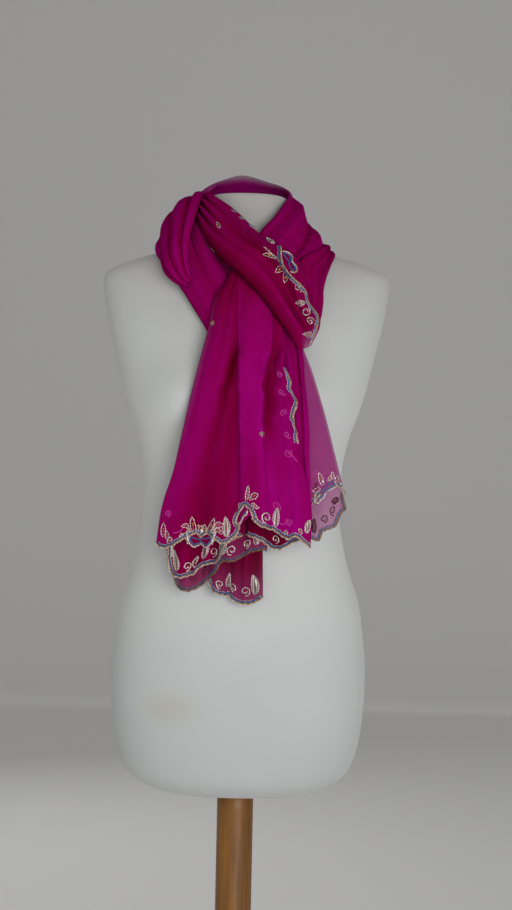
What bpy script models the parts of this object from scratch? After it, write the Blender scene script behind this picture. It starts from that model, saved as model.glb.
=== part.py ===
"""Dupatta stole of silk chiffon, looped round the neck of a limbless dress form on a wooden pole.

The stole is one long rectangle of cloth. It is folded in half, laid round the neck, and both
ends are drawn through the loop, so it shows as a chain of stretches. Each stretch is one object:
a thin wall lofted through a short table of sections, with its main folds as ridges and troughs.
The stretches are laid from the inside out, and each one is eased clear of what it lies on.

Tables are in millimetres. +Z is up, the front is towards -Y, and the floor is at Z = 0.
"""
import math

import bmesh
import bpy
import numpy as np
from mathutils.bvhtree import BVHTree

MM = 0.001
CLOTH_WALL = 1.2          # a gathered stretch is several layers of chiffon
SEAM_GAP = 0.3            # between pieces that meet face to face
LAYER_GAP = 0.35          # air between a stretch and what it lies on, where they touch
CLOTH_COLOUR = (0.35, 0.0, 0.16)

# ---------------------------------------------------------------- the dress form
TORSO_BOTTOM = 700.0
TORSO_SQUARENESS = 2.3    # exponent of the sections' superellipse
TORSO_SEGMENTS = 40
BUST = {"across": 84.0, "height": 1205.0, "depth": 22.0, "radius": 46.0}

# height, half width, front depth, back depth
TORSO_SECTIONS = (
    (700, 96, 62, 68),
    (707, 118, 76, 84),
    (720, 139, 90, 98),
    (740, 153, 98, 106),
    (775, 162, 103, 114),
    (815, 166, 106, 120),
    (860, 167, 105, 122),
    (905, 163, 101, 116),
    (950, 156, 97, 105),
    (1000, 140, 92, 91),
    (1050, 130, 88, 81),
    (1090, 129, 88, 77),
    (1130, 132, 91, 79),
    (1165, 140, 95, 84),
    (1185, 147, 98, 87),
    (1205, 154, 100, 91),
    (1225, 160, 101, 94),
    (1250, 166, 99, 97),
    (1280, 173, 94, 99),
    (1310, 180, 88, 100),
    (1350, 187, 74, 92),
    (1372, 187, 63, 82),
    (1384, 174, 57, 75),
    (1394, 148, 53, 68),
    (1404, 114, 51, 62),
    (1416, 78, 50, 57),
    (1432, 60, 50, 52),
    (1455, 54, 50, 47),
    (1474, 52, 49, 45),
    (1478, 48, 45, 41),
)

POLE_RADIUS = 23.8
BASE_RADIUS = 200.0
BASE_THICKNESS = 24.0
BASE_EDGE = 6.0


def through(rows, at):
    """Smooth curve through equally spaced rows, read at the places `at` from 0 to 1.

    It is a cubic Hermite curve whose slope at each row is the mean of its neighbours'."""
    rows = np.asarray(rows, float)
    place = np.clip(at, 0.0, 1.0) * (len(rows) - 1)
    low = np.minimum(place.astype(int), len(rows) - 2)
    part = (place - low)[..., None]
    slope = np.gradient(rows, axis=0)
    start, end = rows[low], rows[low + 1]
    return (start * (2 * part**3 - 3 * part**2 + 1) + slope[low] * (part**3 - 2 * part**2 + part)
            + end * (3 * part**2 - 2 * part**3) + slope[low + 1] * (part**3 - part**2))


def torso_points():
    """Rings of points up the form: superellipses through the section table, plus the bust."""
    turn = np.linspace(0.0, 2 * math.pi, TORSO_SEGMENTS, endpoint=False)
    cos, sin = np.cos(turn), np.sin(turn)
    power = 2.0 / TORSO_SQUARENESS
    rings = []
    for height, half_width, front, back in TORSO_SECTIONS:
        depth = np.where(sin < 0, front, back)
        x = half_width * np.sign(cos) * np.abs(cos) ** power
        y = depth * np.sign(sin) * np.abs(sin) ** power
        away = (np.abs(x) - BUST["across"]) ** 2 + (height - BUST["height"]) ** 2
        y = y - np.where(sin < 0, BUST["depth"] * np.exp(-away / BUST["radius"] ** 2), 0.0)
        rings.append(np.stack([x, y, np.full_like(x, height)], axis=-1))
    return np.array(rings)


# ---------------------------------------------------------------- the stretches of the stole
# Each section goes from edge a to edge b and swells out between them.
# a_x, a_y, a_z, b_x, b_y, b_z, swell
COLLAR_SECTIONS = (
    (54, 0, 1484, 94, -4, 1416, 3),
    (50, 26, 1496, 88, 46, 1411, 8),
    (30, 50, 1508, 62, 76, 1406, 20),
    (-8, 56, 1519, 4, 92, 1404, 26),
    (-36, 48, 1509, -64, 88, 1404, 26),
    (-54, 20, 1494, -102, 50, 1406, 21),
    (-52, -16, 1482, -115, -6, 1409, 20),
    (-51, -54, 1470, -113, -46, 1391, 18),
    (-66, -86, 1438, -106, -64, 1371, 16),
    (-77, -101, 1402, -97, -77, 1357, 13),
    (-78, -105, 1360, -85, -88, 1345, 8),
    (-60, -108, 1326, -68, -98, 1322, 5),
)
COLLAR_SPLIT = 0.44       # share of the collar's length that is the band behind the neck

STRAND_LEFT_SECTIONS = (
    (-84, -60, 1430, -60, -64, 1438, 3),
    (-93, -68, 1402, -46, -80, 1416, 9),
    (-91, -76, 1366, -26, -88, 1386, 12),
    (-72, -86, 1334, -10, -96, 1356, 12),
    (-54, -95, 1306, -2, -101, 1330, 9),
    (-46, -100, 1292, 0, -104, 1312, 5),
)

BAND_CROSS_SECTIONS = (
    (-68, -42, 1454, -48, -30, 1480, 4),
    (-64, -64, 1438, -42, -51, 1472, 8),
    (-46, -94, 1403, -14, -73, 1450, 15),
    (-30, -114, 1382, 18, -94, 1417, 20),
    (-10, -128, 1364, 47, -110, 1394, 22),
    (17, -134, 1337, 69, -120, 1357, 22),
    (42, -134, 1306, 80, -122, 1331, 19),
    (56, -130, 1288, 91, -116, 1308, 14),
    (66, -126, 1272, 84, -114, 1278, 6),
)

DRAPE_RIGHT_SECTIONS = (
    (54, -3, 1484, 94, -8, 1416, 3),
    (48, -38, 1468, 98, -44, 1401, 8),
    (35, -62, 1446, 95, -66, 1382, 12),
    (15, -78, 1419, 87, -84, 1364, 13),
    (18, -94, 1386, 80, -98, 1340, 11),
    (36, -102, 1350, 76, -104, 1312, 7),
)

ROLL_RIGHT_SECTIONS = (
    (74, 72, 1436, 92, 72, 1404, 4),
    (88, 46, 1430, 106, 46, 1410, 4),
    (96, 16, 1423, 112, 12, 1410, 3),
    (100, -18, 1417, 112, -30, 1400, 3),
    (96, -48, 1409, 107, -55, 1382, 4),
    (82, -78, 1398, 101, -74, 1365, 7),
    (67, -102, 1384, 97, -89, 1346, 9),
    (70, -111, 1356, 97, -100, 1328, 8),
    (72, -114, 1326, 93, -103, 1307, 6),
    (64, -111, 1298, 80, -104, 1288, 4),
)

TAIL_FRONT_SECTIONS = (
    (-14, -108, 1374, 18, -112, 1372, 5),
    (-37, -110, 1336, 36, -120, 1336, 12),
    (-45, -114, 1298, 44, -122, 1298, 15),
    (-54, -118, 1260, 50, -124, 1260, 13),
    (-64, -122, 1216, 57, -127, 1216, 10),
    (-74, -126, 1168, 67, -131, 1168, 8),
    (-84, -129, 1120, 79, -134, 1120, 6),
    (-97, -131, 1076, 88, -137, 1076, 5),
    (-103, -132, 1032, 87, -139, 1032, 4),
)
TAIL_SECOND_SECTIONS = (
    (-34, -106, 1292, 8, -109, 1292, 4),
    (-48, -111, 1244, 8, -113, 1244, 6),
    (-62, -115, 1170, 8, -117, 1170, 5),
    (-78, -119, 1090, 6, -121, 1090, 4),
    (-92, -121, 1004, 4, -123, 1004, 3),
)
TAIL_THIRD_SECTIONS = (
    (-26, -104, 1288, 16, -106, 1288, 4),
    (-42, -107, 1240, 24, -109, 1240, 6),
    (-56, -110, 1170, 28, -112, 1170, 5),
    (-70, -113, 1090, 32, -115, 1090, 4),
    (-82, -115, 992, 34, -117, 992, 3),
)
TAIL_LONG_SECTIONS = (
    (-18, -101, 1284, 18, -102, 1284, 4),
    (-26, -104, 1236, 22, -105, 1236, 5),
    (-33, -107, 1160, 25, -108, 1160, 5),
    (-38, -108, 1080, 27, -109, 1080, 4),
    (-43, -109, 976, 30, -110, 976, 3),
)
TAIL_TUCK_SECTIONS = (
    (14, -110, 1280, 40, -110, 1280, 3),
    (12, -114, 1210, 52, -115, 1210, 5),
    (10, -118, 1130, 66, -118, 1130, 5),
    (8, -121, 1038, 82, -123, 1038, 4),
)
TAIL_SIDE_SECTIONS = (
    (24, -108, 1336, 56, -110, 1330, 4),
    (32, -112, 1286, 68, -113, 1284, 7),
    (38, -114, 1244, 83, -115, 1244, 8),
    (44, -116, 1196, 98, -117, 1196, 7),
    (50, -118, 1150, 110, -119, 1150, 6),
    (58, -119, 1104, 121, -121, 1104, 5),
    (66, -121, 1046, 130, -124, 1066, 4),
)

# Folds: place across at the start, middle and end, height at the start, middle and end
# (below zero for a trough), half width across
COLLAR_FOLDS = (
    (0.20, 0.24, 0.34, 2.0, 4.0, 2.0, 0.09),
    (0.40, 0.44, 0.56, -2.5, -4.0, -2.0, 0.08),
    (0.62, 0.64, 0.74, 2.5, 4.0, 2.0, 0.09),
    (0.84, 0.84, 0.90, -2.0, -3.0, -1.0, 0.08),
)
STRAND_LEFT_FOLDS = (
    (0.25, 0.30, 0.28, 2.0, 4.0, 3.0, 0.09),
    (0.55, 0.58, 0.55, -2.0, -4.0, -3.0, 0.08),
    (0.80, 0.82, 0.80, 1.0, 3.0, 3.0, 0.08),
)
BAND_CROSS_FOLDS = (
    (0.16, 0.12, 0.20, 2.5, 4.0, 3.0, 0.08),
    (0.34, 0.30, 0.38, -3.0, -5.0, -3.0, 0.07),
    (0.52, 0.48, 0.54, 3.0, 4.0, 3.0, 0.08),
    (0.74, 0.70, 0.70, -2.0, -4.0, -3.0, 0.08),
)
DRAPE_RIGHT_FOLDS = (
    (0.30, 0.34, 0.40, 1.0, 4.0, 3.0, 0.10),
    (0.62, 0.60, 0.62, -1.0, -5.0, -3.0, 0.09),
    (0.85, 0.82, 0.80, 0.5, 3.0, 2.0, 0.08),
)
ROLL_RIGHT_FOLDS = (
    (0.35, 0.40, 0.45, 1.0, 3.0, 2.0, 0.12),
    (0.70, 0.70, 0.70, -1.0, -3.0, -2.0, 0.10),
)
TAIL_FRONT_FOLDS = (
    (0.14, 0.16, 0.18, 3.0, 5.0, 7.0, 0.075),
    (0.27, 0.26, 0.30, -2.5, -2.0, -4.0, 0.055),
    (0.42, 0.39, 0.37, -5.0, -14.0, -9.0, 0.065),
    (0.52, 0.54, 0.57, 3.0, 8.0, 8.0, 0.050),
    (0.62, 0.63, 0.66, 2.0, 4.0, 3.0, 0.055),
    (0.72, 0.69, 0.72, 2.0, 5.0, 5.0, 0.040),
    (0.82, 0.79, 0.80, -4.0, -8.0, -5.0, 0.050),
    (0.93, 0.91, 0.90, 1.0, 3.0, 5.0, 0.045),
)
TAIL_SECOND_FOLDS = (
    (0.20, 0.22, 0.20, 1.0, 3.0, 6.0, 0.10),
    (0.48, 0.45, 0.46, -1.0, -3.0, -7.0, 0.09),
    (0.72, 0.70, 0.70, 1.0, 2.0, 6.0, 0.09),
)
TAIL_THIRD_FOLDS = (
    (0.14, 0.15, 0.13, 1.0, 2.0, 5.0, 0.07),
    (0.34, 0.34, 0.36, -1.0, -3.0, -7.0, 0.07),
    (0.56, 0.56, 0.60, 1.0, 2.0, 5.0, 0.08),
    (0.80, 0.80, 0.82, -1.0, -2.0, -5.0, 0.07),
)
TAIL_LONG_FOLDS = (
    (0.18, 0.20, 0.20, 1.0, 2.0, 5.0, 0.10),
    (0.50, 0.48, 0.46, -1.0, -2.0, -5.0, 0.10),
    (0.80, 0.80, 0.78, 1.0, 2.0, 6.0, 0.10),
)
TAIL_TUCK_FOLDS = (
    (0.30, 0.30, 0.32, -1.0, -2.0, -4.0, 0.12),
    (0.66, 0.66, 0.66, 1.0, 2.0, 5.0, 0.12),
)
TAIL_SIDE_FOLDS = (
    (0.30, 0.34, 0.36, 2.0, 4.0, 4.0, 0.08),
    (0.52, 0.56, 0.55, -2.0, -3.0, -5.0, 0.08),
    (0.80, 0.84, 0.84, 1.0, 2.0, 7.0, 0.08),
)

# Hems: place across, rise of the edge there (below zero where it hangs lower)
TAIL_FRONT_HEM = (
    (0.00, 0), (0.07, -4), (0.15, 0), (0.22, 11), (0.29, -4), (0.37, 8), (0.44, 1),
    (0.50, 6), (0.53, 30), (0.56, 46), (0.60, 42), (0.68, 25), (0.77, 15), (0.86, 7),
    (0.91, 14), (0.96, 3), (1.00, -2),
)
TAIL_SECOND_HEM = (
    (0.00, 19), (0.06, 2), (0.13, -8), (0.20, -12), (0.30, -14), (0.40, -9), (0.50, 3),
    (0.60, 2), (0.70, 11), (0.80, 26), (1.00, 34),
)
TAIL_THIRD_HEM = (
    (0.00, 4), (0.05, -14), (0.14, -20), (0.26, -17), (0.36, -7), (0.44, 4), (0.54, 14),
    (0.64, 19), (0.74, 20), (0.86, 27), (1.00, 30),
)
TAIL_LONG_HEM = (
    (0.00, 9), (0.10, -4), (0.22, -10), (0.36, -6), (0.48, -14), (0.66, -21), (0.84, -15),
    (0.94, -9), (1.00, -14),
)
TAIL_TUCK_HEM = ((0.00, 14), (0.22, 6), (0.42, -4), (0.62, -6), (0.82, -2), (1.00, 4))
TAIL_SIDE_HEM = (
    (0.00, 4), (0.28, -8), (0.36, -14), (0.46, -16), (0.54, -16), (0.62, -6), (0.72, -8),
    (0.84, -6), (0.90, 6), (1.00, 12),
)


def frame_vectors(edge_a, edge_b):
    """Unit vectors out of the sheet: square to both its directions and away from the neck."""
    across = edge_b - edge_a
    along = np.gradient((edge_a + edge_b) / 2, axis=0)
    out = np.cross(across, along)
    out /= np.linalg.norm(out, axis=1, keepdims=True)
    centre = (edge_a + edge_b) / 2
    facing = np.sum(out[:, :2] * centre[:, :2], axis=1, keepdims=True)
    return out * np.where(facing < 0, -1.0, 1.0)


def sheet_points(sections, folds, hem, columns, rows, crown, span):
    """Grid of points of one stretch, rows + 1 by columns + 1.

    A point is edge a, plus its share of the way to edge b, plus a move out of the sheet: the
    section's swell, which is greatest at `crown`, and each fold as a bell-shaped ridge. The hem
    table then raises or lowers the last edge, and less and less of the sheet above it."""
    along = np.linspace(span[0], span[1], rows + 1)
    table = through(sections, along)
    edge_a, edge_b, swell = table[:, :3], table[:, 3:6], table[:, 6:7]
    share = np.linspace(0.0, 1.0, columns + 1)
    out = frame_vectors(edge_a, edge_b)
    crowned = share ** (math.log(0.5) / math.log(crown))
    height = swell * np.sqrt(np.maximum(0.0, 1 - (2 * crowned - 1) ** 2))[None, :]
    for fold in folds:
        place = through(np.array(fold[0:3])[:, None], along)
        ridge = through(np.array(fold[3:6])[:, None], along)
        height = height + ridge * np.exp(-((share[None, :] - place) / fold[6]) ** 2)
    points = edge_a[:, None] + (edge_b - edge_a)[:, None] * share[None, :, None]
    points = points + out[:, None] * height[..., None]
    if hem is not None:
        hem = np.array(hem, float)
        rise = np.interp(share, hem[:, 0], hem[:, 1])
        points[..., 2] += along[:, None] ** 3 * rise[None, :]
    return points


# ---------------------------------------------------------------- laying one stretch on another
# Depth is measured from a post up the middle of the form that ends below the neck. Beside the
# post a level is a height. Above its end a level is an elevation round that end, so that the
# shoulders and the top of the neck are seen square on.
POST_TOP = 1362.0
TURNS = 360               # directions round the post
LEVEL_STEP = 2.0
ARC_PER_RADIAN = 110.0    # how much level one radian of elevation takes up
LEVELS_FROM = 640.0
SAMPLES = 4               # places looked at along each side of a face
SOFTENING = 5             # rounds of smoothing of a piece's move
SETTLING = 4              # rounds of closing the air left under a piece
LEVELS = int((POST_TOP - LEVELS_FROM + ARC_PER_RADIAN * math.pi / 2) / LEVEL_STEP) + 1


def refined(points, times, closed=False):
    """The same surface with each face split `times` by `times`, still flat between its points."""
    if closed:
        points = np.concatenate([points, points[:, :1]], axis=1)
    rows = np.linspace(0, points.shape[0] - 1, (points.shape[0] - 1) * times + 1)
    columns = np.linspace(0, points.shape[1] - 1, (points.shape[1] - 1) * times + 1)
    low = np.minimum(rows.astype(int), points.shape[0] - 2)
    part = (rows - low)[:, None, None]
    points = points[low] * (1 - part) + points[low + 1] * part
    low = np.minimum(columns.astype(int), points.shape[1] - 2)
    part = (columns - low)[None, :, None]
    return points[:, low] * (1 - part) + points[:, low + 1] * part


def from_post(points):
    """The vector to each point from the nearest point of the post."""
    foot = np.zeros_like(points)
    foot[..., 2] = np.minimum(points[..., 2], POST_TOP)
    return points - foot


def cells(points):
    """Direction, level and distance from the post of each point."""
    arm = from_post(points)
    flat = np.hypot(arm[..., 0], arm[..., 1])
    turn = np.arctan2(arm[..., 1], arm[..., 0]) / (2 * math.pi) * TURNS
    level = np.minimum(points[..., 2], POST_TOP) - LEVELS_FROM
    level = (level + ARC_PER_RADIAN * np.arctan2(arm[..., 2], flat)) / LEVEL_STEP
    return (np.floor(turn).astype(int) % TURNS,
            np.clip(np.floor(level).astype(int), 0, LEVELS - 1),
            np.linalg.norm(arm, axis=-1))


class Reach:
    """How far from the post the pieces laid so far come, in each direction and at each level."""

    def __init__(self, clearance):
        self.out = np.zeros((TURNS, LEVELS))
        self.clearance = clearance

    def add(self, points):
        """Raises the map to a piece's surface, made thicker all round by the clearance."""
        turn, level, distance = cells(points)
        raised = np.zeros_like(self.out)
        np.maximum.at(raised, (turn, level), distance)
        steps_up = int(self.clearance / LEVEL_STEP) + 1
        for up in range(-steps_up, steps_up + 1):
            for round_ in range(-2, 3):
                moved = np.roll(raised, (round_, up), axis=(0, 1))
                sideways = moved * 2 * math.pi / TURNS * max(abs(round_) - 1, 0)
                rest = (self.clearance ** 2 - (max(abs(up) - 1, 0) * LEVEL_STEP) ** 2
                        - sideways ** 2)
                eased = np.where((moved > 0) & (rest > 0), moved + np.sqrt(np.maximum(rest, 0)), 0)
                self.out = np.maximum(self.out, eased)
        return self.out

    def eased(self, points):
        """The piece moved away from the post just far enough to clear the map.

        A point moves as far as the worst place on the faces round it needs, and its neighbours
        follow part of the way, so the move is smooth."""
        turn, level, distance = cells(refined(points, SAMPLES))
        short = np.maximum(0.0, self.out[turn, level] - distance)
        rows, columns = points.shape[:2]
        need = np.zeros((rows, columns))
        for row in range(-SAMPLES, SAMPLES + 1):
            for column in range(-SAMPLES, SAMPLES + 1):
                at_row = np.clip(np.arange(rows) * SAMPLES + row, 0, (rows - 1) * SAMPLES)
                at_column = np.clip(np.arange(columns) * SAMPLES + column, 0,
                                    (columns - 1) * SAMPLES)
                need = np.maximum(need, short[np.ix_(at_row, at_column)])
        move = need
        for _ in range(SOFTENING):
            wide = np.pad(move, 1, mode="edge")
            mean = np.mean([wide[i:i + rows, j:j + columns] for i in range(3) for j in range(3)],
                           axis=0)
            move = np.maximum(need, mean)
        arm = from_post(points)
        return points + arm / np.linalg.norm(arm, axis=-1, keepdims=True) * move[..., None]


def search_tree(points, closed=False):
    """The faces of a grid of points, ready to be searched for the nearest."""
    return BVHTree.FromPolygons(points.reshape(-1, 3).tolist(), grid_faces(points, closed).tolist())


def settled(points, laid):
    """The piece moved back towards the post until it all but touches what it lies on.

    `laid` holds a search tree and a wall allowance for each piece below. Moving every point by
    less than the least air under the piece can't make it touch."""
    for _ in range(SETTLING):
        places = refined(points, SAMPLES).reshape(-1, 3).tolist()
        air = min(tree.find_nearest(place)[3] - wall for tree, wall in laid for place in places)
        if air <= LAYER_GAP:
            break
        arm = from_post(points)
        points = points - arm / np.linalg.norm(arm, axis=-1, keepdims=True) * (air - LAYER_GAP)
    return points


# ---------------------------------------------------------------- objects
def grid_faces(points, closed):
    """Corner numbers of each face of a grid, which is joined round when closed."""
    rows, columns = points.shape[:2]
    index = np.arange(rows * columns).reshape(rows, columns)
    if closed:
        index = np.concatenate([index, index[:, :1]], axis=1)
    faces = np.stack([index[:-1, :-1], index[:-1, 1:], index[1:, 1:], index[1:, :-1]], axis=-1)
    return faces.reshape(-1, 4)


def material(name, colour, roughness):
    """One Principled material."""
    made = bpy.data.materials.new(name)
    made.use_nodes = True
    shader = made.node_tree.nodes["Principled BSDF"]
    shader.inputs["Base Color"].default_value = (*colour, 1.0)
    shader.inputs["Roughness"].default_value = roughness
    shader.inputs["Metallic"].default_value = 0.0
    return made


def add_object(name, mesh, finish, collection):
    """Puts a mesh into the collection as a named object."""
    piece = bpy.data.objects.new(name, mesh)
    collection.objects.link(piece)
    mesh.materials.append(finish)
    return piece


def grid_mesh(name, points, closed):
    """Mesh of a grid of points in millimetres, with both ends capped when it is joined round."""
    faces = grid_faces(points, closed).tolist()
    if closed:
        around = points.shape[1]
        last = points.shape[0] * around
        faces.append(list(range(around))[::-1])
        faces.append(list(range(last - around, last)))
    mesh = bpy.data.meshes.new(name)
    mesh.from_pydata((points.reshape(-1, 3) * MM).tolist(), [], faces)
    mesh.shade_smooth()
    return mesh


def add_sheet(name, points, finish, collection):
    """A cloth stretch: its open sheet, given its wall by Solidify."""
    piece = add_object(name, grid_mesh(name, points, closed=False), finish, collection)
    wall = piece.modifiers.new("wall", "SOLIDIFY")
    wall.thickness = CLOTH_WALL * MM
    wall.offset = 0.0
    return piece


def add_cylinder(name, radius, bottom, top, segments, finish, collection):
    """A round solid standing upright."""
    mesh = bpy.data.meshes.new(name)
    shape = bmesh.new()
    bmesh.ops.create_cone(shape, cap_ends=True, segments=segments, radius1=radius * MM,
                          radius2=radius * MM, depth=(top - bottom) * MM)
    shape.to_mesh(mesh)
    shape.free()
    piece = add_object(name, mesh, finish, collection)
    piece.location.z = (top + bottom) / 2 * MM
    return piece


WHOLE = (0.0, 1.0)
HALF_SEAM = 0.00055       # half of the cut between the collar's two pieces, as a share of it
SEAM_ROWS = 3             # rows before that cut, which the piece past it runs on from

# name, sections, folds, hem, columns, rows, crown, share of the sections: from the inside out
STRETCHES = (
    ("tail_long", TAIL_LONG_SECTIONS, TAIL_LONG_FOLDS, TAIL_LONG_HEM, 14, 12, 0.5, WHOLE),
    ("tail_third", TAIL_THIRD_SECTIONS, TAIL_THIRD_FOLDS, TAIL_THIRD_HEM, 18, 12, 0.5, WHOLE),
    ("tail_tuck", TAIL_TUCK_SECTIONS, TAIL_TUCK_FOLDS, TAIL_TUCK_HEM, 10, 10, 0.5, WHOLE),
    ("strand_left", STRAND_LEFT_SECTIONS, STRAND_LEFT_FOLDS, None, 12, 12, 0.5, WHOLE),
    ("tail_second", TAIL_SECOND_SECTIONS, TAIL_SECOND_FOLDS, TAIL_SECOND_HEM, 16, 12, 0.5, WHOLE),
    ("tail_side", TAIL_SIDE_SECTIONS, TAIL_SIDE_FOLDS, TAIL_SIDE_HEM, 16, 14, 0.5, WHOLE),
    ("tail_front", TAIL_FRONT_SECTIONS, TAIL_FRONT_FOLDS, TAIL_FRONT_HEM, 34, 22, 0.5, WHOLE),
    ("wrap_back", COLLAR_SECTIONS, COLLAR_FOLDS, None, 12, 14, 0.5, (0.0, COLLAR_SPLIT - HALF_SEAM)),
    ("drape_right", DRAPE_RIGHT_SECTIONS, DRAPE_RIGHT_FOLDS, None, 14, 14, 0.5, WHOLE),
    ("roll_right", ROLL_RIGHT_SECTIONS, ROLL_RIGHT_FOLDS, None, 8, 20, 0.5, WHOLE),
    ("band_cross", BAND_CROSS_SECTIONS, BAND_CROSS_FOLDS, None, 18, 18, 0.40, WHOLE),
    ("roll_left", COLLAR_SECTIONS, COLLAR_FOLDS, None, 14, 18, 0.5, (COLLAR_SPLIT + HALF_SEAM, 1.0)),
)


def build():
    for old in list(bpy.data.objects):
        bpy.data.objects.remove(old, do_unlink=True)
    collection = bpy.data.collections.new("dupatta_stole")
    bpy.context.scene.collection.children.link(collection)

    torso = torso_points()
    add_object("form_torso", grid_mesh("form_torso", torso, closed=True),
               material("form_cover", (0.60, 0.60, 0.57), 0.75), collection)
    wood = material("varnished_pine", (0.36, 0.17, 0.06), 0.45)
    add_cylinder("stand_pole", POLE_RADIUS, BASE_THICKNESS + SEAM_GAP, TORSO_BOTTOM - SEAM_GAP,
                 32, wood, collection)
    base = add_cylinder("stand_base", BASE_RADIUS, 0.0, BASE_THICKNESS, 64,
                        material("varnished_pine_base", (0.36, 0.17, 0.06), 0.45), collection)
    edge = base.modifiers.new("rounded_edge", "BEVEL")
    edge.width = BASE_EDGE * MM
    edge.segments = 2
    edge.limit_method = "ANGLE"

    reach = Reach(CLOTH_WALL + LAYER_GAP)
    reach.out = Reach(CLOTH_WALL / 2 + LAYER_GAP).add(refined(torso, 16, closed=True))
    laid = [(search_tree(torso, closed=True), CLOTH_WALL / 2)]
    for name, sections, folds, hem, columns, rows, crown, span in STRETCHES:
        points = reach.eased(sheet_points(sections, folds, hem, columns, rows, crown, span))
        points = settled(points, laid)
        kept = points if span[1] == 1.0 else points[:-SEAM_ROWS]
        reach.add(refined(kept, 6))
        laid.append((search_tree(kept), CLOTH_WALL))
        add_sheet(name, points, material(name + "_chiffon", CLOTH_COLOUR, 0.6), collection)


build()
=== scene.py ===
"""Looks of a dupatta stole of silk chiffon, looped round a limbless dress form on a wooden pole.

The CAD solids give every stretch of the stole its place. Here each stretch is a thin shell on that
same form, with its folds placed one by one, and the embroidered border is sewn on as real threads,
beads and filled leaves that follow the cloth. Tables are in millimetres, and the front is -Y.
"""
import math

import bmesh
import bpy
import numpy as np
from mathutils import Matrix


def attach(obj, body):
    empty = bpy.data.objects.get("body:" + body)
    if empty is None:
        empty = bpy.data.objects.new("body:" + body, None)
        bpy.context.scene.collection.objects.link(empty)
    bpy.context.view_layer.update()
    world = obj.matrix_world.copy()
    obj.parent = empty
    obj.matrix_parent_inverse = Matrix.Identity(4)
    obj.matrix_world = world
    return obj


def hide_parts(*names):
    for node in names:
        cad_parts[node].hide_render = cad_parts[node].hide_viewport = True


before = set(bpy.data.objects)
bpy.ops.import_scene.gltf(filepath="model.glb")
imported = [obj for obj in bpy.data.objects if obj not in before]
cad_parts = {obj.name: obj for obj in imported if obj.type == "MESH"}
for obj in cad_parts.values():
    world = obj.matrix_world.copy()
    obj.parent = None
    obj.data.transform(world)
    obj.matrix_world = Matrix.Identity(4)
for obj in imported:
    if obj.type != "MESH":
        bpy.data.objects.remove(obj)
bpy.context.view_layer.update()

bl_info = {
    "name": "Dupatta Stole on a Dress Form",
    "version": (1, 0, 0),
    "blender": (4, 5, 0),
    "location": "3D View > Sidebar > Stole",
    "description": "Chiffon stole with an embroidered border on a dress form",
    "category": "Add Mesh",
}

MM = 0.001
LAID = {}                 # grids of the stretches, by name, once they are laid
LAYERS_AND_SHADE = {}               # how deep each point of them lies in its folds, from 0 to 1: deeper dye and painted shade
WAVE = 2 * math.pi / 20   # scale of a wave texture whose bands are one unit apart


def linear(code):
    """Linear colour of an sRGB hex value."""
    parts = [int(code[i:i + 2], 16) / 255 for i in (1, 3, 5)]
    return tuple(c / 12.92 if c <= 0.04045 else ((c + 0.055) / 1.055) ** 2.4 for c in parts)


# ---------------------------------------------------------------- settings
class ClothSettings(bpy.types.PropertyGroup):
    """Sizes and colours of the chiffon."""
    wall: bpy.props.FloatProperty(
        name="Wall", description="Thickness of the cloth shell", default=0.0005, min=0.0001,
        unit="LENGTH")
    gap: bpy.props.FloatProperty(
        name="Gap", description="Air between two layers", default=0.0004, min=0.0,
        unit="LENGTH")
    # colour, full colour and deep colour make the ramp that the depth attribute reads: deeper dye
    # where layers gather, and painted shade in the folds and on stretches that lie in shadow
    colour: bpy.props.FloatVectorProperty(
        name="Colour", description="Dye where one or two layers catch the light",
        default=linear("#9C0472"), subtype="COLOR", size=3, min=0.0, max=1.0)
    full_colour: bpy.props.FloatVectorProperty(
        name="Full colour", description="Dye of gathered cloth", default=linear("#7D013D"),
        subtype="COLOR", size=3, min=0.0, max=1.0)
    layered_and_shaded_colour: bpy.props.FloatVectorProperty(
        name="Deep colour", description="Dye seen through many layers, in the folds",
        default=linear("#540013"), subtype="COLOR", size=3, min=0.0, max=1.0)
    single_colour: bpy.props.FloatVectorProperty(
        name="Single colour", description="Dye of a single layer on the white form",
        default=linear("#AC5995"), subtype="COLOR", size=3, min=0.0, max=1.0)
    cover: bpy.props.FloatProperty(
        name="Cover", description="Share of light that gathered cloth stops at each wall",
        default=0.965, min=0.0, max=1.0, subtype="FACTOR")
    sheer_cover: bpy.props.FloatProperty(
        name="Sheer cover", description="Share of light that a single layer stops at each wall",
        default=0.25, min=0.0, max=1.0, subtype="FACTOR")


class EmbroiderySettings(bpy.types.PropertyGroup):
    """Sizes and colours of the border and the small motifs."""
    cord: bpy.props.FloatProperty(
        name="Cord", description="Thickness of a metal cord", default=0.0021, min=0.0005,
        unit="LENGTH")
    yarn: bpy.props.FloatProperty(
        name="Yarn", description="Thickness of the coloured yarn", default=0.0014, min=0.0005,
        unit="LENGTH")
    gold: bpy.props.FloatVectorProperty(
        name="Gold", description="Gilt thread", default=linear("#C49E7C"), subtype="COLOR",
        size=3, min=0.0, max=1.0)
    silver: bpy.props.FloatVectorProperty(
        name="Silver", description="Silvered thread", default=linear("#F0E4DD"),
        subtype="COLOR", size=3, min=0.0, max=1.0)
    blue: bpy.props.FloatVectorProperty(
        name="Blue", description="Rayon yarn of the border", default=linear("#0A66A6"),
        subtype="COLOR", size=3, min=0.0, max=1.0)
    amber: bpy.props.FloatVectorProperty(
        name="Amber", description="Glass beads", default=linear("#E29624"), subtype="COLOR",
        size=3, min=0.0, max=1.0)


class StandSettings(bpy.types.PropertyGroup):
    """Colours of the dress form and its stand."""
    cover: bpy.props.FloatVectorProperty(
        name="Cover", description="Jersey over the form", default=linear("#C5C7C6"),
        subtype="COLOR", size=3, min=0.0, max=1.0)
    wood: bpy.props.FloatVectorProperty(
        name="Wood", description="Varnished pine", default=linear("#7E4F08"),
        subtype="COLOR", size=3, min=0.0, max=1.0)


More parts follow.
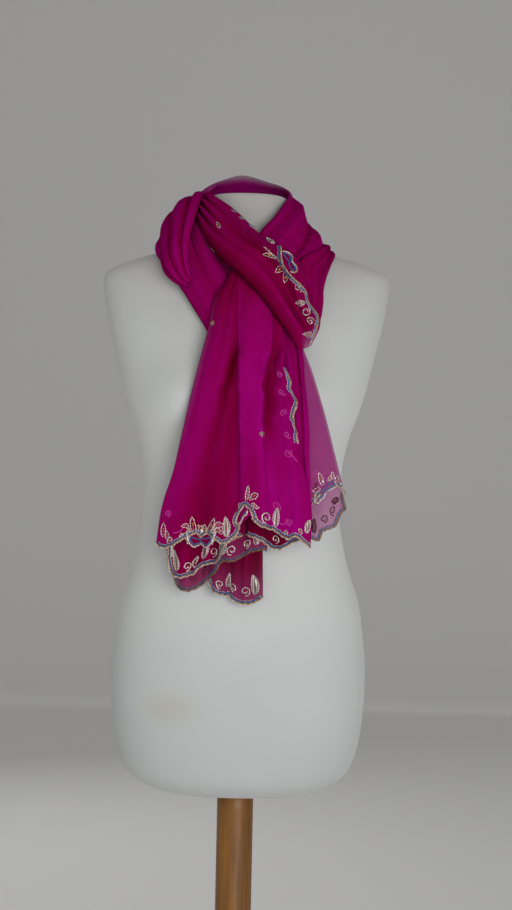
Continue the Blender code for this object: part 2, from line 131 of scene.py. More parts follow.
class StageSettings(bpy.types.PropertyGroup):
    """Floor, light and camera."""
    distance: bpy.props.FloatProperty(
        name="Distance", description="From the camera to the form", default=2.0, min=0.5,
        unit="LENGTH")
    eye: bpy.props.FloatProperty(
        name="Eye height", description="Height of the camera", default=1.14, min=0.1,
        unit="LENGTH")
    roll: bpy.props.FloatProperty(
        name="Roll", description="Lean of the camera", default=math.radians(-1.24),
        subtype="ANGLE")
    floor_colour: bpy.props.FloatVectorProperty(
        name="Floor", description="Paint of the floor", default=linear("#EEEEEE"),
        subtype="COLOR", size=3, min=0.0, max=1.0)


# ---------------------------------------------------------------- curves and grids
def through(rows, at):
    """Smooth curve through equally spaced rows, read at the places `at` from 0 to 1.

    It is a cubic Hermite curve whose slope at each row is the mean of its neighbours'."""
    rows = np.asarray(rows, float)
    place = np.clip(at, 0.0, 1.0) * (len(rows) - 1)
    low = np.minimum(place.astype(int), len(rows) - 2)
    part = place - low
    part = part.reshape(part.shape + (1,) * (rows.ndim - 1))
    slope = np.gradient(rows, axis=0)
    start, end = rows[low], rows[low + 1]
    return (start * (2 * part**3 - 3 * part**2 + 1) + slope[low] * (part**3 - 2 * part**2 + part)
            + end * (3 * part**2 - 2 * part**3) + slope[low + 1] * (part**3 - part**2))


def grid_faces(rows, columns, closed):
    """Corner numbers of each face of a grid, which is joined round when closed."""
    index = np.arange(rows * columns).reshape(rows, columns)
    if closed:
        index = np.concatenate([index, index[:, :1]], axis=1)
    faces = np.stack([index[:-1, :-1], index[:-1, 1:], index[1:, 1:], index[1:, :-1]], axis=-1)
    return faces.reshape(-1, 4)


def unit(vectors):
    """The vectors at length one."""
    return vectors / np.maximum(np.linalg.norm(vectors, axis=-1, keepdims=True), 1e-9)


def add_piece(name, points, faces, finish, uv=None):
    """Puts points in millimetres and faces of four corners into a mesh object on the one body."""
    mesh = bpy.data.meshes.new(name)
    count = len(faces)
    mesh.vertices.add(len(points))
    mesh.vertices.foreach_set("co", (points * MM).astype(np.float32).ravel())
    mesh.loops.add(count * 4)
    mesh.loops.foreach_set("vertex_index", faces.astype(np.int32).ravel())
    mesh.polygons.add(count)
    mesh.polygons.foreach_set("loop_start", np.arange(0, count * 4, 4, dtype=np.int32))
    mesh.update(calc_edges=True)
    if uv is not None:
        layer = mesh.uv_layers.new(name="cloth")
        layer.data.foreach_set("uv", uv[faces.ravel()].astype(np.float32).ravel())
    mesh.validate()
    mesh.shade_smooth()
    mesh.materials.append(finish)
    piece = bpy.data.objects.new(name, mesh)
    bpy.context.scene.collection.objects.link(piece)
    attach(piece, "root")
    return piece


# ---------------------------------------------------------------- materials
def add_node(tree, kind, settings=(), links=()):
    """Adds a node. `settings` maps attributes or socket names to values, `links` sockets to
    outputs of other nodes."""
    node = tree.nodes.new(kind)
    for name, value in dict(settings).items():
        if name in node.inputs:
            node.inputs[name].default_value = value
        else:
            setattr(node, name, value)
    for name, output in dict(links).items():
        tree.links.new(output, node.inputs[name])
    return node


def new_material(name, **settings):
    """A material with its Principled shader set, its tree and that shader."""
    made = bpy.data.materials.new(name)
    made.use_nodes = True
    shader = made.node_tree.nodes["Principled BSDF"]
    for socket, value in settings.items():
        shader.inputs[socket.replace("_", " ")].default_value = value
    return made, made.node_tree, shader


def shaded(colour, share):
    """A colour made darker or brighter by a share."""
    return tuple(min(1.0, part * share) for part in colour)


def cloth_place(tree):
    """Place on the cloth, or along and round a thread, in metres."""
    return add_node(tree, "ShaderNodeUVMap", {"uv_map": "cloth"}).outputs["UV"]


def object_place(tree):
    """Place in the object, in metres."""
    return add_node(tree, "ShaderNodeTexCoord").outputs["Object"]


def waves(tree, place, apart, direction, **settings):
    """Bands that lie `apart` metres from each other."""
    more = {name.replace("_", " "): value for name, value in settings.items()}
    return add_node(tree, "ShaderNodeTexWave", {
        "Scale": WAVE / apart, "bands_direction": direction, **more},
        {"Vector": place}).outputs["Fac"]


def noise(tree, place, scale, **settings):
    """Clouds, `scale` of them to a metre."""
    return add_node(tree, "ShaderNodeTexNoise", {"Scale": scale, **settings},
                    {"Vector": place}).outputs["Fac"]


def ranged(tree, value, low, high):
    """A value from 0 to 1, carried over to the range from `low` to `high`."""
    return add_node(tree, "ShaderNodeMapRange", {"To Min": low, "To Max": high},
                    {"Value": value}).outputs["Result"]


def maths(tree, operation, first, second, clamp=False):
    """Two values added or multiplied, and held between 0 and 1 when clamped."""
    node = add_node(tree, "ShaderNodeMath", {"operation": operation, "use_clamp": clamp})
    for socket, value in zip(node.inputs, (first, second)):
        tree.links.new(value, socket)
    return node.outputs["Value"]


def mixed(tree, factor, first, second, blend="MIX"):
    """Two colours mixed. The factor and the colours are fixed values or outputs of nodes."""
    node = add_node(tree, "ShaderNodeMix", {"data_type": "RGBA", "blend_type": blend})
    for number, value in ((0, factor), (6, first), (7, second)):
        if isinstance(value, bpy.types.NodeSocket):
            tree.links.new(value, node.inputs[number])
        else:
            node.inputs[number].default_value = (*value, 1.0) if number else value
    return node.outputs[2]


def ramp(tree, value, stops):
    """Colour read off a ramp at a value. The stops are pairs of place and colour."""
    node = add_node(tree, "ShaderNodeValToRGB", {}, {"Fac": value})
    elements = node.color_ramp.elements
    for element, (place, colour) in zip(elements, (stops[0], stops[-1])):
        element.position, element.color = place, (*colour, 1.0)
    for place, colour in stops[1:-1]:
        elements.new(place).color = (*colour, 1.0)
    return node.outputs["Color"]


def coloured(tree, shader, colour, height, strength, distance):
    """Gives a shader its colour, and its relief as a bump of `distance` metres."""
    tree.links.new(colour, shader.inputs["Base Color"])
    bump = add_node(tree, "ShaderNodeBump", {"Strength": strength, "Distance": distance},
                    {"Height": height})
    tree.links.new(bump.outputs["Normal"], shader.inputs["Normal"])


SHEEN_TINT = "#FF2FB4"


def chiffon():
    """Dyed silk chiffon: a fine open crepe weave, soft sheen along the folds, see-through where
    a single layer lies over the form and nearly solid where it is gathered."""
    cloth = bpy.context.scene.stole_cloth
    made, tree, shader = new_material(
        "silk_chiffon", Roughness=0.75, Sheen_Weight=0.02, Sheen_Roughness=0.35,
        Sheen_Tint=(*linear(SHEEN_TINT), 1.0), Specular_IOR_Level=0.0)
    place = cloth_place(tree)
    # threads lie 0.3 mm apart, drawn at 0.8 mm so that they show
    warp, weft = (waves(tree, place, 0.0008, direction, Distortion=1.5, Detail=1.0,
                        Detail_Scale=2.0) for direction in "XY")
    weave = maths(tree, "MULTIPLY", warp, weft)
    # crepe yarn pulls the cloth in soft patches about 25 mm across
    uneven = ranged(tree, noise(tree, place, 40.0, Detail=3.0), -0.12, 0.12)
    depth, sheer = (add_node(tree, "ShaderNodeAttribute", {"attribute_name": name}).outputs["Fac"]
                    for name in ("depth", "sheer"))
    # the depth deepens the dye where layers gather and paints shade into the folds and onto
    # stretches in shadow; the clouds only vary the tone
    layers = maths(tree, "ADD", depth, uneven, clamp=True)
    dye_and_shade = ramp(tree, layers, ((0.0, cloth.colour), (0.5, cloth.full_colour),
                              (1.0, cloth.layered_and_shaded_colour)))
    coloured(tree, shader, mixed(tree, sheer, dye_and_shade, cloth.single_colour), weave, 0.15, 0.0002)
    cover = maths(tree, "ADD", ranged(tree, sheer, cloth.cover, cloth.sheer_cover),
                  ranged(tree, weave, -0.03, 0.03), clamp=True)
    tree.links.new(cover, shader.inputs["Alpha"])
    return made


def twisted(name, colour, apart, groove_shade, ridge_highlight, strength, **settings):
    """Thread whose twist winds round it in ridges `apart` metres from each other: painted shade, a
    darker share of the colour, between the ridges, and a painted highlight, a brighter share, on
    them."""
    made, tree, shader = new_material(name, **settings)
    twist = waves(tree, cloth_place(tree), apart, "DIAGONAL")
    tone = mixed(tree, twist, shaded(colour, groove_shade), shaded(colour, ridge_highlight))
    coloured(tree, shader, tone, twist, strength, 0.0003)
    return made


def metal_thread(name, colour):
    """Plied metal thread: ridges that wind round the cord, a painted highlight on them and painted
    shade between.
    """
    # plies lie 1.2 mm apart, drawn at 1.9 mm
    return twisted(name, colour, 0.0019, 0.34, 1.15, 0.6, Metallic=0.75, Roughness=0.34)


def rayon_yarn():
    """Twisted rayon yarn: saturated blue with a soft sheen, and painted shade between the ridges
    of its twist.
    """
    colour = bpy.context.scene.stole_embroidery.blue
    return twisted("rayon_yarn", colour, 0.0016, 0.55, 1.0, 0.5, Roughness=0.48,
                   Sheen_Weight=0.04)


REVERSE_TINT = "#96705F"  # gilt thread on the cloth's other side
BEHIND_TINT = "#6E2440"   # silvered thread behind a layer of cloth
BELOW_TINT = "#BF4398"    # thread that shows faintly through the cloth


def thread_below():
    """Thread on the other side of the chiffon: seen through it, it is a paler pink with no
    shine."""
    return new_material("thread_below_chiffon", Base_Color=(*linear(BELOW_TINT), 1.0),
                        Roughness=0.9, Specular_IOR_Level=0.0)[0]


BEAD_SHADE = "#84460C"


def glass_bead():
    """Amber glass beads: clear honey colour with a hard wet gloss."""
    made, tree, shader = new_material("amber_glass", Roughness=0.08, IOR=1.52, Coat_Weight=0.6)
    tone = mixed(tree, noise(tree, object_place(tree), 300.0), linear(BEAD_SHADE),
                 bpy.context.scene.stole_embroidery.amber)
    tree.links.new(tone, shader.inputs["Base Color"])
    return made


# Painted shade greys and warms the neck and greys the hip, with the belly clean: share of the
# height, tint
PAINTED_SHADE_FROM, PAINTED_SHADE_TO = 0.75, 1.50
PAINTED_SHADE_TINTS = ((0.0, "#E4E6E6"), (0.14, "#ECEEEE"), (0.32, "#FFFFFF"), (0.58, "#FFFFFF"),
           (0.76, "#EEEEEC"), (1.0, "#D8CECB"))
# A pale yellow mark low on the left: its tint, its x and z, and one over its radius each way
MARK_TINT = "#BDB5A4"
MARK_X, MARK_Z, MARK_ACROSS, MARK_UP = -0.083, 0.818, 22.0, 34.0


def jersey():
    """Knitted cotton jersey stretched over foam: matt off-white, with a fine rib, a faint pale
    mark, and painted shade towards the neck and the hip."""
    colour = bpy.context.scene.stole_stand.cover
    made, tree, shader = new_material("cotton_jersey", Roughness=0.85, Sheen_Weight=0.25,
                                      Sheen_Roughness=0.6)
    place = object_place(tree)
    # wales lie 0.9 mm apart, drawn at 1.6 mm
    rib = waves(tree, place, 0.0016, "X", Distortion=0.6)
    cloud = noise(tree, place, 7.0, Detail=4.0)
    tone = mixed(tree, cloud, shaded(colour, 0.93), shaded(colour, 1.05))
    where = add_node(tree, "ShaderNodeMapping", {
        "vector_type": "POINT", "Location": (-MARK_X * MARK_ACROSS, 0.0, -MARK_Z * MARK_UP),
        "Scale": (MARK_ACROSS, 0.0, MARK_UP)}, {"Vector": place})
    mark = add_node(tree, "ShaderNodeTexGradient", {"gradient_type": "SPHERICAL"},
                    {"Vector": where.outputs["Vector"]})
    stain = maths(tree, "MULTIPLY", mark.outputs["Fac"], cloud)
    tone = mixed(tree, stain, tone, linear(MARK_TINT))
    # painted shade up the form, read from the height
    height = add_node(tree, "ShaderNodeSeparateXYZ", {}, {"Vector": place}).outputs["Z"]
    shade_place = add_node(tree, "ShaderNodeMapRange", {
        "From Min": PAINTED_SHADE_FROM, "From Max": PAINTED_SHADE_TO}, {"Value": height}).outputs["Result"]
    grey = ramp(tree, shade_place, [(share, linear(tint)) for share, tint in PAINTED_SHADE_TINTS])
    relief = maths(tree, "ADD", rib, noise(tree, place, 900.0, Detail=2.0))
    coloured(tree, shader, mixed(tree, 1.0, tone, grey, "MULTIPLY"), relief, 0.18, 0.0003)
    return made


def varnished_pine(name, grain):
    """Turned pine under varnish: warm orange-brown, darker streaks along the grain, low gloss."""
    colour = bpy.context.scene.stole_stand.wood
    made, tree, shader = new_material(name, Roughness=0.5, Coat_Weight=0.08)
    drawn_out = add_node(tree, "ShaderNodeMapping", {"Scale": grain},
                         {"Vector": object_place(tree)})
    streak = noise(tree, drawn_out.outputs["Vector"], 1.0, Detail=6.0, Roughness=0.62)
    tone = ramp(tree, streak, ((0.30, shaded(colour, 0.42)), (0.68, shaded(colour, 1.25))))
    coloured(tree, shader, tone, streak, 0.12, 0.0004)
    return made


# ---------------------------------------------------------------- the dress form
TORSO_SQUARENESS = 2.3    # exponent of the sections' superellipse
TORSO_AROUND = 176
TORSO_UP = 250
BUST = {"across": 84.0, "height": 1205.0, "depth": 22.0, "radius": 46.0}
CAP_WIDTHS = (0.99, 0.96, 0.88, 0.7, 0.45, 0.2, 0.0)    # rings that close the neck and the hip
CAP_RISE = 0.9

# height, half width, front depth, back depth
TORSO_SECTIONS = (
    (700, 96, 62, 68), (707, 118, 76, 84), (720, 139, 90, 98), (740, 153, 98, 106),
    (775, 162, 103, 114), (815, 166, 106, 120), (860, 167, 105, 122), (905, 163, 101, 116),
    (950, 156, 97, 105), (1000, 140, 92, 91), (1050, 130, 88, 81), (1090, 129, 88, 77),
    (1130, 132, 91, 79), (1165, 140, 95, 84), (1185, 147, 98, 87), (1205, 154, 100, 91),
    (1225, 160, 101, 94), (1250, 166, 99, 97), (1280, 173, 94, 99), (1310, 180, 88, 100),
    (1350, 187, 74, 92), (1372, 187, 63, 82), (1384, 174, 57, 75), (1394, 148, 53, 68),
    (1404, 114, 51, 62), (1416, 78, 50, 57), (1432, 60, 50, 52), (1455, 54, 50, 47),
    (1474, 52, 49, 45), (1478, 48, 45, 41),
)
# Dents of finger tips and pins in the foam: x, z, depth, radius
DENTS = (
    (-40, 858, 1.6, 9), (-3, 864, 1.3, 8), (40, 866, 1.6, 9), (71, 857, 1.2, 8),
    (55, 912, 0.9, 7),
)


def torso_points():
    """Rings up the form: superellipses through the section table, plus the bust and the dents.

    The last rings draw in to a soft cap on the neck, and the first ones to a cap below."""
    turn = np.linspace(0.0, 2 * math.pi, TORSO_AROUND, endpoint=False)
    cos, sin = np.cos(turn)[None, :], np.sin(turn)[None, :]
    power = 2.0 / TORSO_SQUARENESS
    table = through(TORSO_SECTIONS, np.linspace(0.0, 1.0, TORSO_UP))
    inward = np.array(CAP_WIDTHS)[:, None]
    drawn_in = np.concatenate([np.ones_like(inward), np.repeat(inward, 3, axis=1)], axis=1)
    top, bottom = table[-1] * drawn_in, table[0] * drawn_in
    top[:, 0] += CAP_RISE * (1 - inward[:, 0] ** 2)
    table = np.concatenate([bottom[::-1], table, top])
    height, half_width, front, back = (table[:, i:i + 1] for i in range(4))
    x = half_width * np.sign(cos) * np.abs(cos) ** power
    y = np.where(sin < 0, front, back) * np.sign(sin) * np.abs(sin) ** power
    away = (np.abs(x) - BUST["across"]) ** 2 + (height - BUST["height"]) ** 2
    y = y - np.where(sin < 0, BUST["depth"] * np.exp(-away / BUST["radius"] ** 2), 0.0)
    for dent_x, dent_z, depth, radius in DENTS:
        away = (x - dent_x) ** 2 + (height - dent_z) ** 2
        y = y + np.where(sin < 0, depth * np.exp(-away / radius ** 2), 0.0)
    return np.stack([x, y, np.broadcast_to(height, x.shape)], axis=-1)


POLE_RADIUS = 23.8
# radius, height: from the centre below, outwards and up
BASE_PROFILE = (
    (0.0, 0.0), (100.0, 0.0), (196.0, 0.0), (198.4, 0.8), (199.6, 2.4), (200.0, 6.0),
    (200.0, 17.0), (199.4, 20.4), (197.6, 22.8), (194.6, 24.0), (110.0, 24.0), (0.0, 24.0),
)
POLE_PROFILE = (
    (0.0, 24.3), (22.8, 24.3), (POLE_RADIUS, 25.3), (POLE_RADIUS, 150.0), (23.6, 360.0),
    (POLE_RADIUS, 560.0), (POLE_RADIUS, 698.7), (22.8, 699.7), (0.0, 699.7),
)


def turned(profile, around, steps):
    """A turned shape: the profile, each of its runs cut in `steps`, carried round the Z axis."""
    corner = np.arange(len(profile))
    along = np.linspace(0, corner[-1], corner[-1] * steps + 1)
    radius, height = (np.interp(along, corner, column)[:, None] for column in zip(*profile))
    turn = np.linspace(0.0, 2 * math.pi, around, endpoint=False)[None, :]
    x, y = radius * np.cos(turn), radius * np.sin(turn)
    return np.stack([x, y, np.broadcast_to(height, x.shape)], axis=-1)


def join_doubles(piece, outwards=False):
    """Joins the points that lie on each other, as at the ends of a turned shape or a cord."""
    shape = bmesh.new()
    shape.from_mesh(piece.data)
    bmesh.ops.remove_doubles(shape, verts=shape.verts, dist=1e-6)
    if outwards:
        bmesh.ops.recalc_face_normals(shape, faces=shape.faces)
    shape.to_mesh(piece.data)
    shape.free()


def closed_piece(name, points, finish):
    """A shape closed round and at both ends, whose first and last rings are single points."""
    faces = grid_faces(points.shape[0], points.shape[1], closed=True)
    piece = add_piece(name, points.reshape(-1, 3), faces, finish)
    join_doubles(piece, outwards=True)
    return piece


# ---------------------------------------------------------------- the stretches of the stole
# Each section goes from edge a to edge b and swells out between them.
# a_x, a_y, a_z, b_x, b_y, b_z, swell
COLLAR_SECTIONS = (
    (36, -102, 1350, 76, -104, 1312, 7), (18, -94, 1386, 80, -98, 1340, 11),
    (15, -78, 1419, 87, -84, 1364, 13), (35, -62, 1446, 95, -66, 1382, 12),
    (48, -38, 1468, 98, -44, 1401, 8), (54, -3, 1484, 94, -6, 1416, 4),
    (50, 26, 1496, 88, 46, 1411, 8), (30, 50, 1508, 62, 76, 1406, 20),
    (-8, 56, 1519, 4, 92, 1404, 26), (-36, 48, 1509, -64, 88, 1404, 26),
    (-52, 20, 1490, -102, 50, 1404, 22), (-54, -16, 1479, -108, -6, 1405, 25),
    (-57, -54, 1468, -107, -46, 1389, 23), (-66, -86, 1439, -103, -64, 1372, 17),
    (-72, -102, 1406, -98, -77, 1363, 13), (-72, -104, 1378, -85, -86, 1353, 8),
    (-68, -104, 1358, -73, -94, 1349, 2),
)
COLLAR_FROM_BACK = 9.84 / 16    # where the part behind the neck runs on into the left roll
STRAND_LEFT_SECTIONS = (
    (-84, -60, 1430, -60, -64, 1438, 3), (-93, -68, 1402, -46, -80, 1416, 9),
    (-91, -76, 1366, -26, -88, 1386, 12), (-72, -86, 1334, -10, -96, 1356, 12),
    (-54, -95, 1306, -2, -101, 1330, 9), (-46, -100, 1292, 0, -104, 1312, 5),
)
BAND_CROSS_SECTIONS = (
    (-68, -42, 1454, -48, -30, 1480, 4), (-64, -64, 1438, -42, -51, 1472, 8),
    (-46, -94, 1403, -14, -73, 1450, 15), (-30, -114, 1382, 18, -94, 1417, 20),
    (-10, -128, 1364, 47, -110, 1394, 22), (17, -134, 1337, 69, -120, 1357, 22),
    (42, -134, 1306, 80, -122, 1331, 19), (56, -130, 1288, 91, -116, 1308, 14),
    (66, -126, 1272, 84, -114, 1278, 6),
)
ROLL_RIGHT_SECTIONS = (
    (74, 72, 1436, 92, 72, 1404, 4), (88, 46, 1430, 106, 46, 1410, 4),
    (96, 16, 1423, 112, 12, 1410, 3), (100, -18, 1417, 112, -30, 1400, 3),
    (96, -48, 1409, 107, -55, 1382, 4), (82, -78, 1398, 101, -74, 1365, 7),
    (67, -102, 1384, 97, -89, 1346, 9), (70, -111, 1356, 97, -100, 1328, 8),
    (72, -114, 1326, 93, -103, 1307, 6), (64, -111, 1298, 80, -104, 1288, 4),
)
TAIL_FRONT_SECTIONS = (
    (-14, -108, 1374, 18, -112, 1372, 5), (-37, -110, 1336, 36, -120, 1336, 12),
    (-45, -114, 1298, 44, -122, 1298, 15), (-54, -118, 1260, 50, -124, 1260, 13),
    (-64, -122, 1216, 57, -127, 1216, 10), (-74, -126, 1168, 67, -131, 1168, 8),
    (-84, -129, 1120, 79, -134, 1120, 6), (-97, -131, 1076, 88, -137, 1076, 5),
    (-103, -132, 1032, 87, -139, 1032, 4),
)
TAIL_SECOND_SECTIONS = (
    (-34, -106, 1292, 8, -109, 1292, 4), (-48, -111, 1244, 8, -113, 1244, 6),
    (-62, -115, 1170, 8, -117, 1170, 5), (-78, -119, 1090, 6, -121, 1090, 4),
    (-92, -121, 1004, 4, -123, 1004, 3),
)
TAIL_THIRD_SECTIONS = (
    (-26, -104, 1288, 16, -106, 1288, 4), (-42, -107, 1240, 24, -109, 1240, 6),
    (-56, -110, 1170, 28, -112, 1170, 5), (-70, -113, 1090, 32, -115, 1090, 4),
    (-82, -115, 992, 34, -117, 992, 3),
)
TAIL_LONG_SECTIONS = (
    (-18, -101, 1284, 18, -102, 1284, 4), (-26, -104, 1236, 22, -105, 1236, 5),
    (-33, -107, 1160, 25, -108, 1160, 5), (-38, -108, 1080, 27, -109, 1080, 4),
    (-43, -109, 976, 30, -110, 976, 3),
)
TAIL_TUCK_SECTIONS = (
    (14, -110, 1280, 40, -110, 1280, 3), (12, -114, 1210, 52, -115, 1210, 5),
    (10, -118, 1130, 66, -118, 1130, 5), (8, -121, 1038, 82, -123, 1038, 4),
)
TAIL_SIDE_SECTIONS = (
    (24, -108, 1336, 56, -110, 1330, 4), (32, -112, 1286, 68, -113, 1284, 7),
    (38, -114, 1244, 83, -115, 1244, 8), (44, -116, 1196, 98, -117, 1196, 7),
    (50, -118, 1150, 110, -119, 1150, 6), (58, -119, 1104, 121, -121, 1104, 5),
    (66, -121, 1046, 130, -124, 1066, 4),
)

# A fold: its places across and its heights (below zero for a trough), evenly from the top of the
# stretch to its end, then its half width across.
# A lap: the same, but the cloth beyond it is raised (or dropped), as at the edge of a pleat.
# A tuck: its places along and its heights, evenly from edge a to edge b, then its half width.
# A painted shade: like a fold, but it darkens the dye there; below zero it paints it paler, as
# lit.
COLLAR_TROUGHS = (
    (0.58, 0.60, 0.56, 0.48, 0.43, 0.44, 0.47, 0.52, 0.55),
    (0.94, 0.93, 0.92, 0.90, 0.86, 0.83, 0.81, 0.82, 0.84),
    (0.12, 0.12, 0.14, 0.12, 0.10, 0.12, 0.14, 0.16, 0.18),
)
COLLAR_FOLDS = (
    ((0.30, 0.32, 0.30, 0.28, 0.26, 0.27, 0.28, 0.30, 0.32), (3, 4, 4, 5, 4, 2, 1.5, 2, 1), 0.10),
    (COLLAR_TROUGHS[0], (-3, -5, -5, -6, -5, -2, -1.5, -2.5, -2), 0.04),
    ((0.82, 0.82, 0.80, 0.72, 0.63, 0.64, 0.66, 0.68, 0.70), (2, 3, 4, 5, 4, 2, 1.5, 2, 2), 0.09),
    (COLLAR_TROUGHS[1], (-1, -1, -2, -4, -4, -1.5, -1, -2, -2), 0.035),
    (COLLAR_TROUGHS[2], (-1, -2, -2, -2, -1, -2, -3, -3, -1), 0.05),
)
COLLAR_PAINTED_SHADE = (
    (COLLAR_TROUGHS[0], (0, 0, 0, 0, 0.1, 0.3, 0.35, 0.35, 0.2), 0.05),
    (COLLAR_TROUGHS[1], (0, 0, 0, 0, 0.1, 0.25, 0.3, 0.3, 0.2), 0.05),
    (COLLAR_TROUGHS[2], (0, 0, 0, 0, 0, 0.2, 0.3, 0.3, 0.2), 0.05),
)
COLLAR_TUCKS = (
    ((0.185, 0.215, 0.240), (0, 1, 3), 0.012),
    ((0.150, 0.180, 0.205), (0, 1.5, 3), 0.014),
    ((0.110, 0.140, 0.165), (0, 2, 5), 0.014),
)
STRAND_LEFT_FOLDS = (
    ((0.22, 0.28, 0.28), (1, 3, 2), 0.12),
    ((0.52, 0.54, 0.50), (-1, -2, -1), 0.05),
    ((0.72, 0.74, 0.72), (2, 3, 2), 0.10),
    ((0.94, 0.92, 0.90), (-2, -3, -2), 0.04),
)
BAND_CROSS_FOLDS = (
    ((0.12, 0.12, 0.13, 0.14, 0.16, 0.18, 0.20, 0.22, 0.24), (4, 5, 4, 3, 3, 3, 3, 2, 1), 0.07),
    ((0.23, 0.23, 0.25, 0.28, 0.31, 0.33, 0.34, 0.34, 0.34),
     (-6, -6, -3, -1, -1, -2, -3, -2, 0), 0.04),
    ((0.34, 0.34, 0.36, 0.38, 0.40, 0.40, 0.42, 0.44, 0.44), (6, 5, 1, 0, 1, 2, 2, 2, 1), 0.05),
    ((0.46, 0.46, 0.48, 0.48, 0.48, 0.48, 0.5, 0.5, 0.5), (-7, -5, -1, 0, 0, 0, 0, 0, 0), 0.035),
    ((0.58, 0.58, 0.60, 0.58, 0.50, 0.46, 0.45, 0.44, 0.44), (6, 4, 2, 2, 2, 3, 3, 2, 1), 0.06),
    ((0.71, 0.71, 0.74, 0.70, 0.62, 0.58, 0.57, 0.56, 0.56),
     (-6, -3, -1, -2, -3, -3, -3, -2, -1), 0.035),
    ((0.86, 0.86, 0.88, 0.88, 0.86, 0.84, 0.82, 0.82, 0.82), (4, 2, 1, 0, 0, 0, 1, 1, 1), 0.06),
)
BAND_CROSS_PAINTED_SHADE = (
    ((0.72, 0.70, 0.62, 0.52, 0.47, 0.46, 0.46, 0.46, 0.47),
     (0.3, 0.1, 0.1, 0.3, 0.45, 0.45, 0.4, 0.3, 0.2), 0.06),
    ((0.03, 0.03), (0.4, 0.4, 0.4, 0.4, 0.3, 0.3, 0.2, 0.2, 0.2), 0.10),
)
BAND_CROSS_LAPS = (
    ((0.80, 0.76, 0.60, 0.52, 0.52), (0, -2, -4.5, -4, -2), 0.022),
)
ROLL_RIGHT_FOLDS = (
    ((0.35, 0.40, 0.45), (1, 3, 2), 0.10),
    ((0.70, 0.70), (-1, -3, -2), 0.08),
)
TAIL_FRONT_TROUGH = (
    0.44, 0.45, 0.446, 0.424, 0.44, 0.399, 0.334, 0.302, 0.265, 0.234, 0.25, 0.26, 0.27)
TAIL_FRONT_FOLDS = (
    ((0.14, 0.15, 0.16, 0.154, 0.14, 0.132, 0.118, 0.108, 0.10, 0.10, 0.11, 0.12, 0.12),
     (1, 2, 2, 2, 3, 3, 3, 3, 3, 3, 4, 5, 6), 0.09),
    ((0.33, 0.33, 0.32, 0.31, 0.29, 0.26, 0.21, 0.17, 0.16, 0.16, 0.17, 0.18, 0.18),
     (1, 2, 2, 2, 2, 1, 1, 0, 0, 0, 0, 0, 0), 0.05),
    (TAIL_FRONT_TROUGH, (0, -1, -2, -2, -4, -5, -4, -3, -3, -3, -3, -3, -4), 0.06),
    ((0.40, 0.38, 0.37, 0.375, 0.39, 0.415, 0.427, 0.445, 0.457, 0.463, 0.47, 0.483, 0.498),
     (0, -1, -1, -1, -2, -2, -2, -3, -3, -3, -3, -3, -4), 0.06),
    ((0.35, 0.35, 0.35, 0.35, 0.35, 0.35, 0.37, 0.36, 0.355, 0.35, 0.355, 0.36, 0.37),
     (0, 0, 0, 0, 0, 0, 0, 1, 1, 2, 2, 3, 4), 0.04),
    ((0.58, 0.57, 0.56, 0.56, 0.57, 0.58, 0.59, 0.60, 0.60, 0.60, 0.61, 0.62, 0.63),
     (0, 1, 1, 1, 1, 1, 1, 1, 2, 2, 2, 3, 4), 0.07),
    ((0.93, 0.91, 0.853, 0.821, 0.789, 0.752, 0.697, 0.699, 0.696, 0.685, 0.682, 0.688, 0.702),
     (0, 0, 0, 0, 1, 2, 2, 2, 2, 2, 2, 1, 0), 0.025),
    ((0.99, 0.99, 0.99, 0.985, 0.937, 0.865, 0.80, 0.785, 0.782, 0.766, 0.757, 0.761, 0.777),
     (-1, -2, -3, -4, -5, -6, -5, -4, -3, -2, -2, -3, -4), 0.05),
    ((1.00, 1.00, 1.00, 1.00, 1.00, 0.97, 0.94, 0.93, 0.92, 0.91, 0.90, 0.90, 0.90),
     (0, 0, 0, 0, 1, 3, 4, 4, 4, 4, 4, 5, 6), 0.04),
)
TAIL_FRONT_PAINTED_SHADE = (
    ((0.20, 0.20, 0.20, 0.20, 0.20, 0.18, 0.15, 0.13, 0.12, 0.12, 0.12, 0.12, 0.12),
     (0, 0.05, 0.05, 0.05, 0.05, 0.05, 0.05, 0.05, 0.05, 0.05, 0.1, 0.15, 0.15), 0.25),
    (TAIL_FRONT_TROUGH,
     (0, 0.2, 0.2, 0.1, 0.4, 0.55, 0.4, 0.2, 0.15, 0.1, 0.05, 0.05, 0.05), 0.05),
    ((0.33, 0.33, 0.38, 0.395, 0.416, 0.448, 0.438, 0.427, 0.40, 0.36, 0.34, 0.35, 0.365),
     (0, 0, 0, 0, 0.05, 0.1, 0.2, 0.25, 0.22, 0.25, 0.22, 0.2, 0.1), 0.10),
    ((1.00, 1.00, 0.96, 0.92, 0.885, 0.825, 0.755, 0.755, 0.735, 0.72, 0.715, 0.72, 0.74),
     (0.3, 0.3, 0.3, 0.2, 0.25, 0.3, 0.5, 0.4, 0.05, -0.2, -0.3, -0.2, -0.1), 0.06),
    ((0.90, 0.90, 0.90, 0.90, 0.90, 0.90, 0.90, 0.90, 0.90, 0.90, 0.88, 0.86, 0.86),
     (0, 0, 0, 0, 0, 0, 0, -0.05, -0.08, -0.12, -0.2, -0.28, -0.25), 0.13),
    ((0.00, 0.00),
     (0, 0, 0, -0.05, -0.1, -0.1, -0.1, -0.1, -0.1, -0.1, -0.15, -0.2, -0.2), 0.12),
)
PLEAT_PAINTED_SHADE = (
    ((0.60, 0.60), (0.3, 0.2, 0.05, 0, 0, 0, 0, 0.05, 0.1, 0.15, 0.15, 0.1, 0.1), 0.06),
    ((0.95, 0.93, 0.91, 0.88, 0.845, 0.775, 0.71, 0.71, 0.69, 0.675, 0.68, 0.685, 0.70),
     (0, 0, 0, 0, 0, 0, -0.1, -0.15, -0.15, -0.1, -0.1, -0.1, 0), 0.03),
)
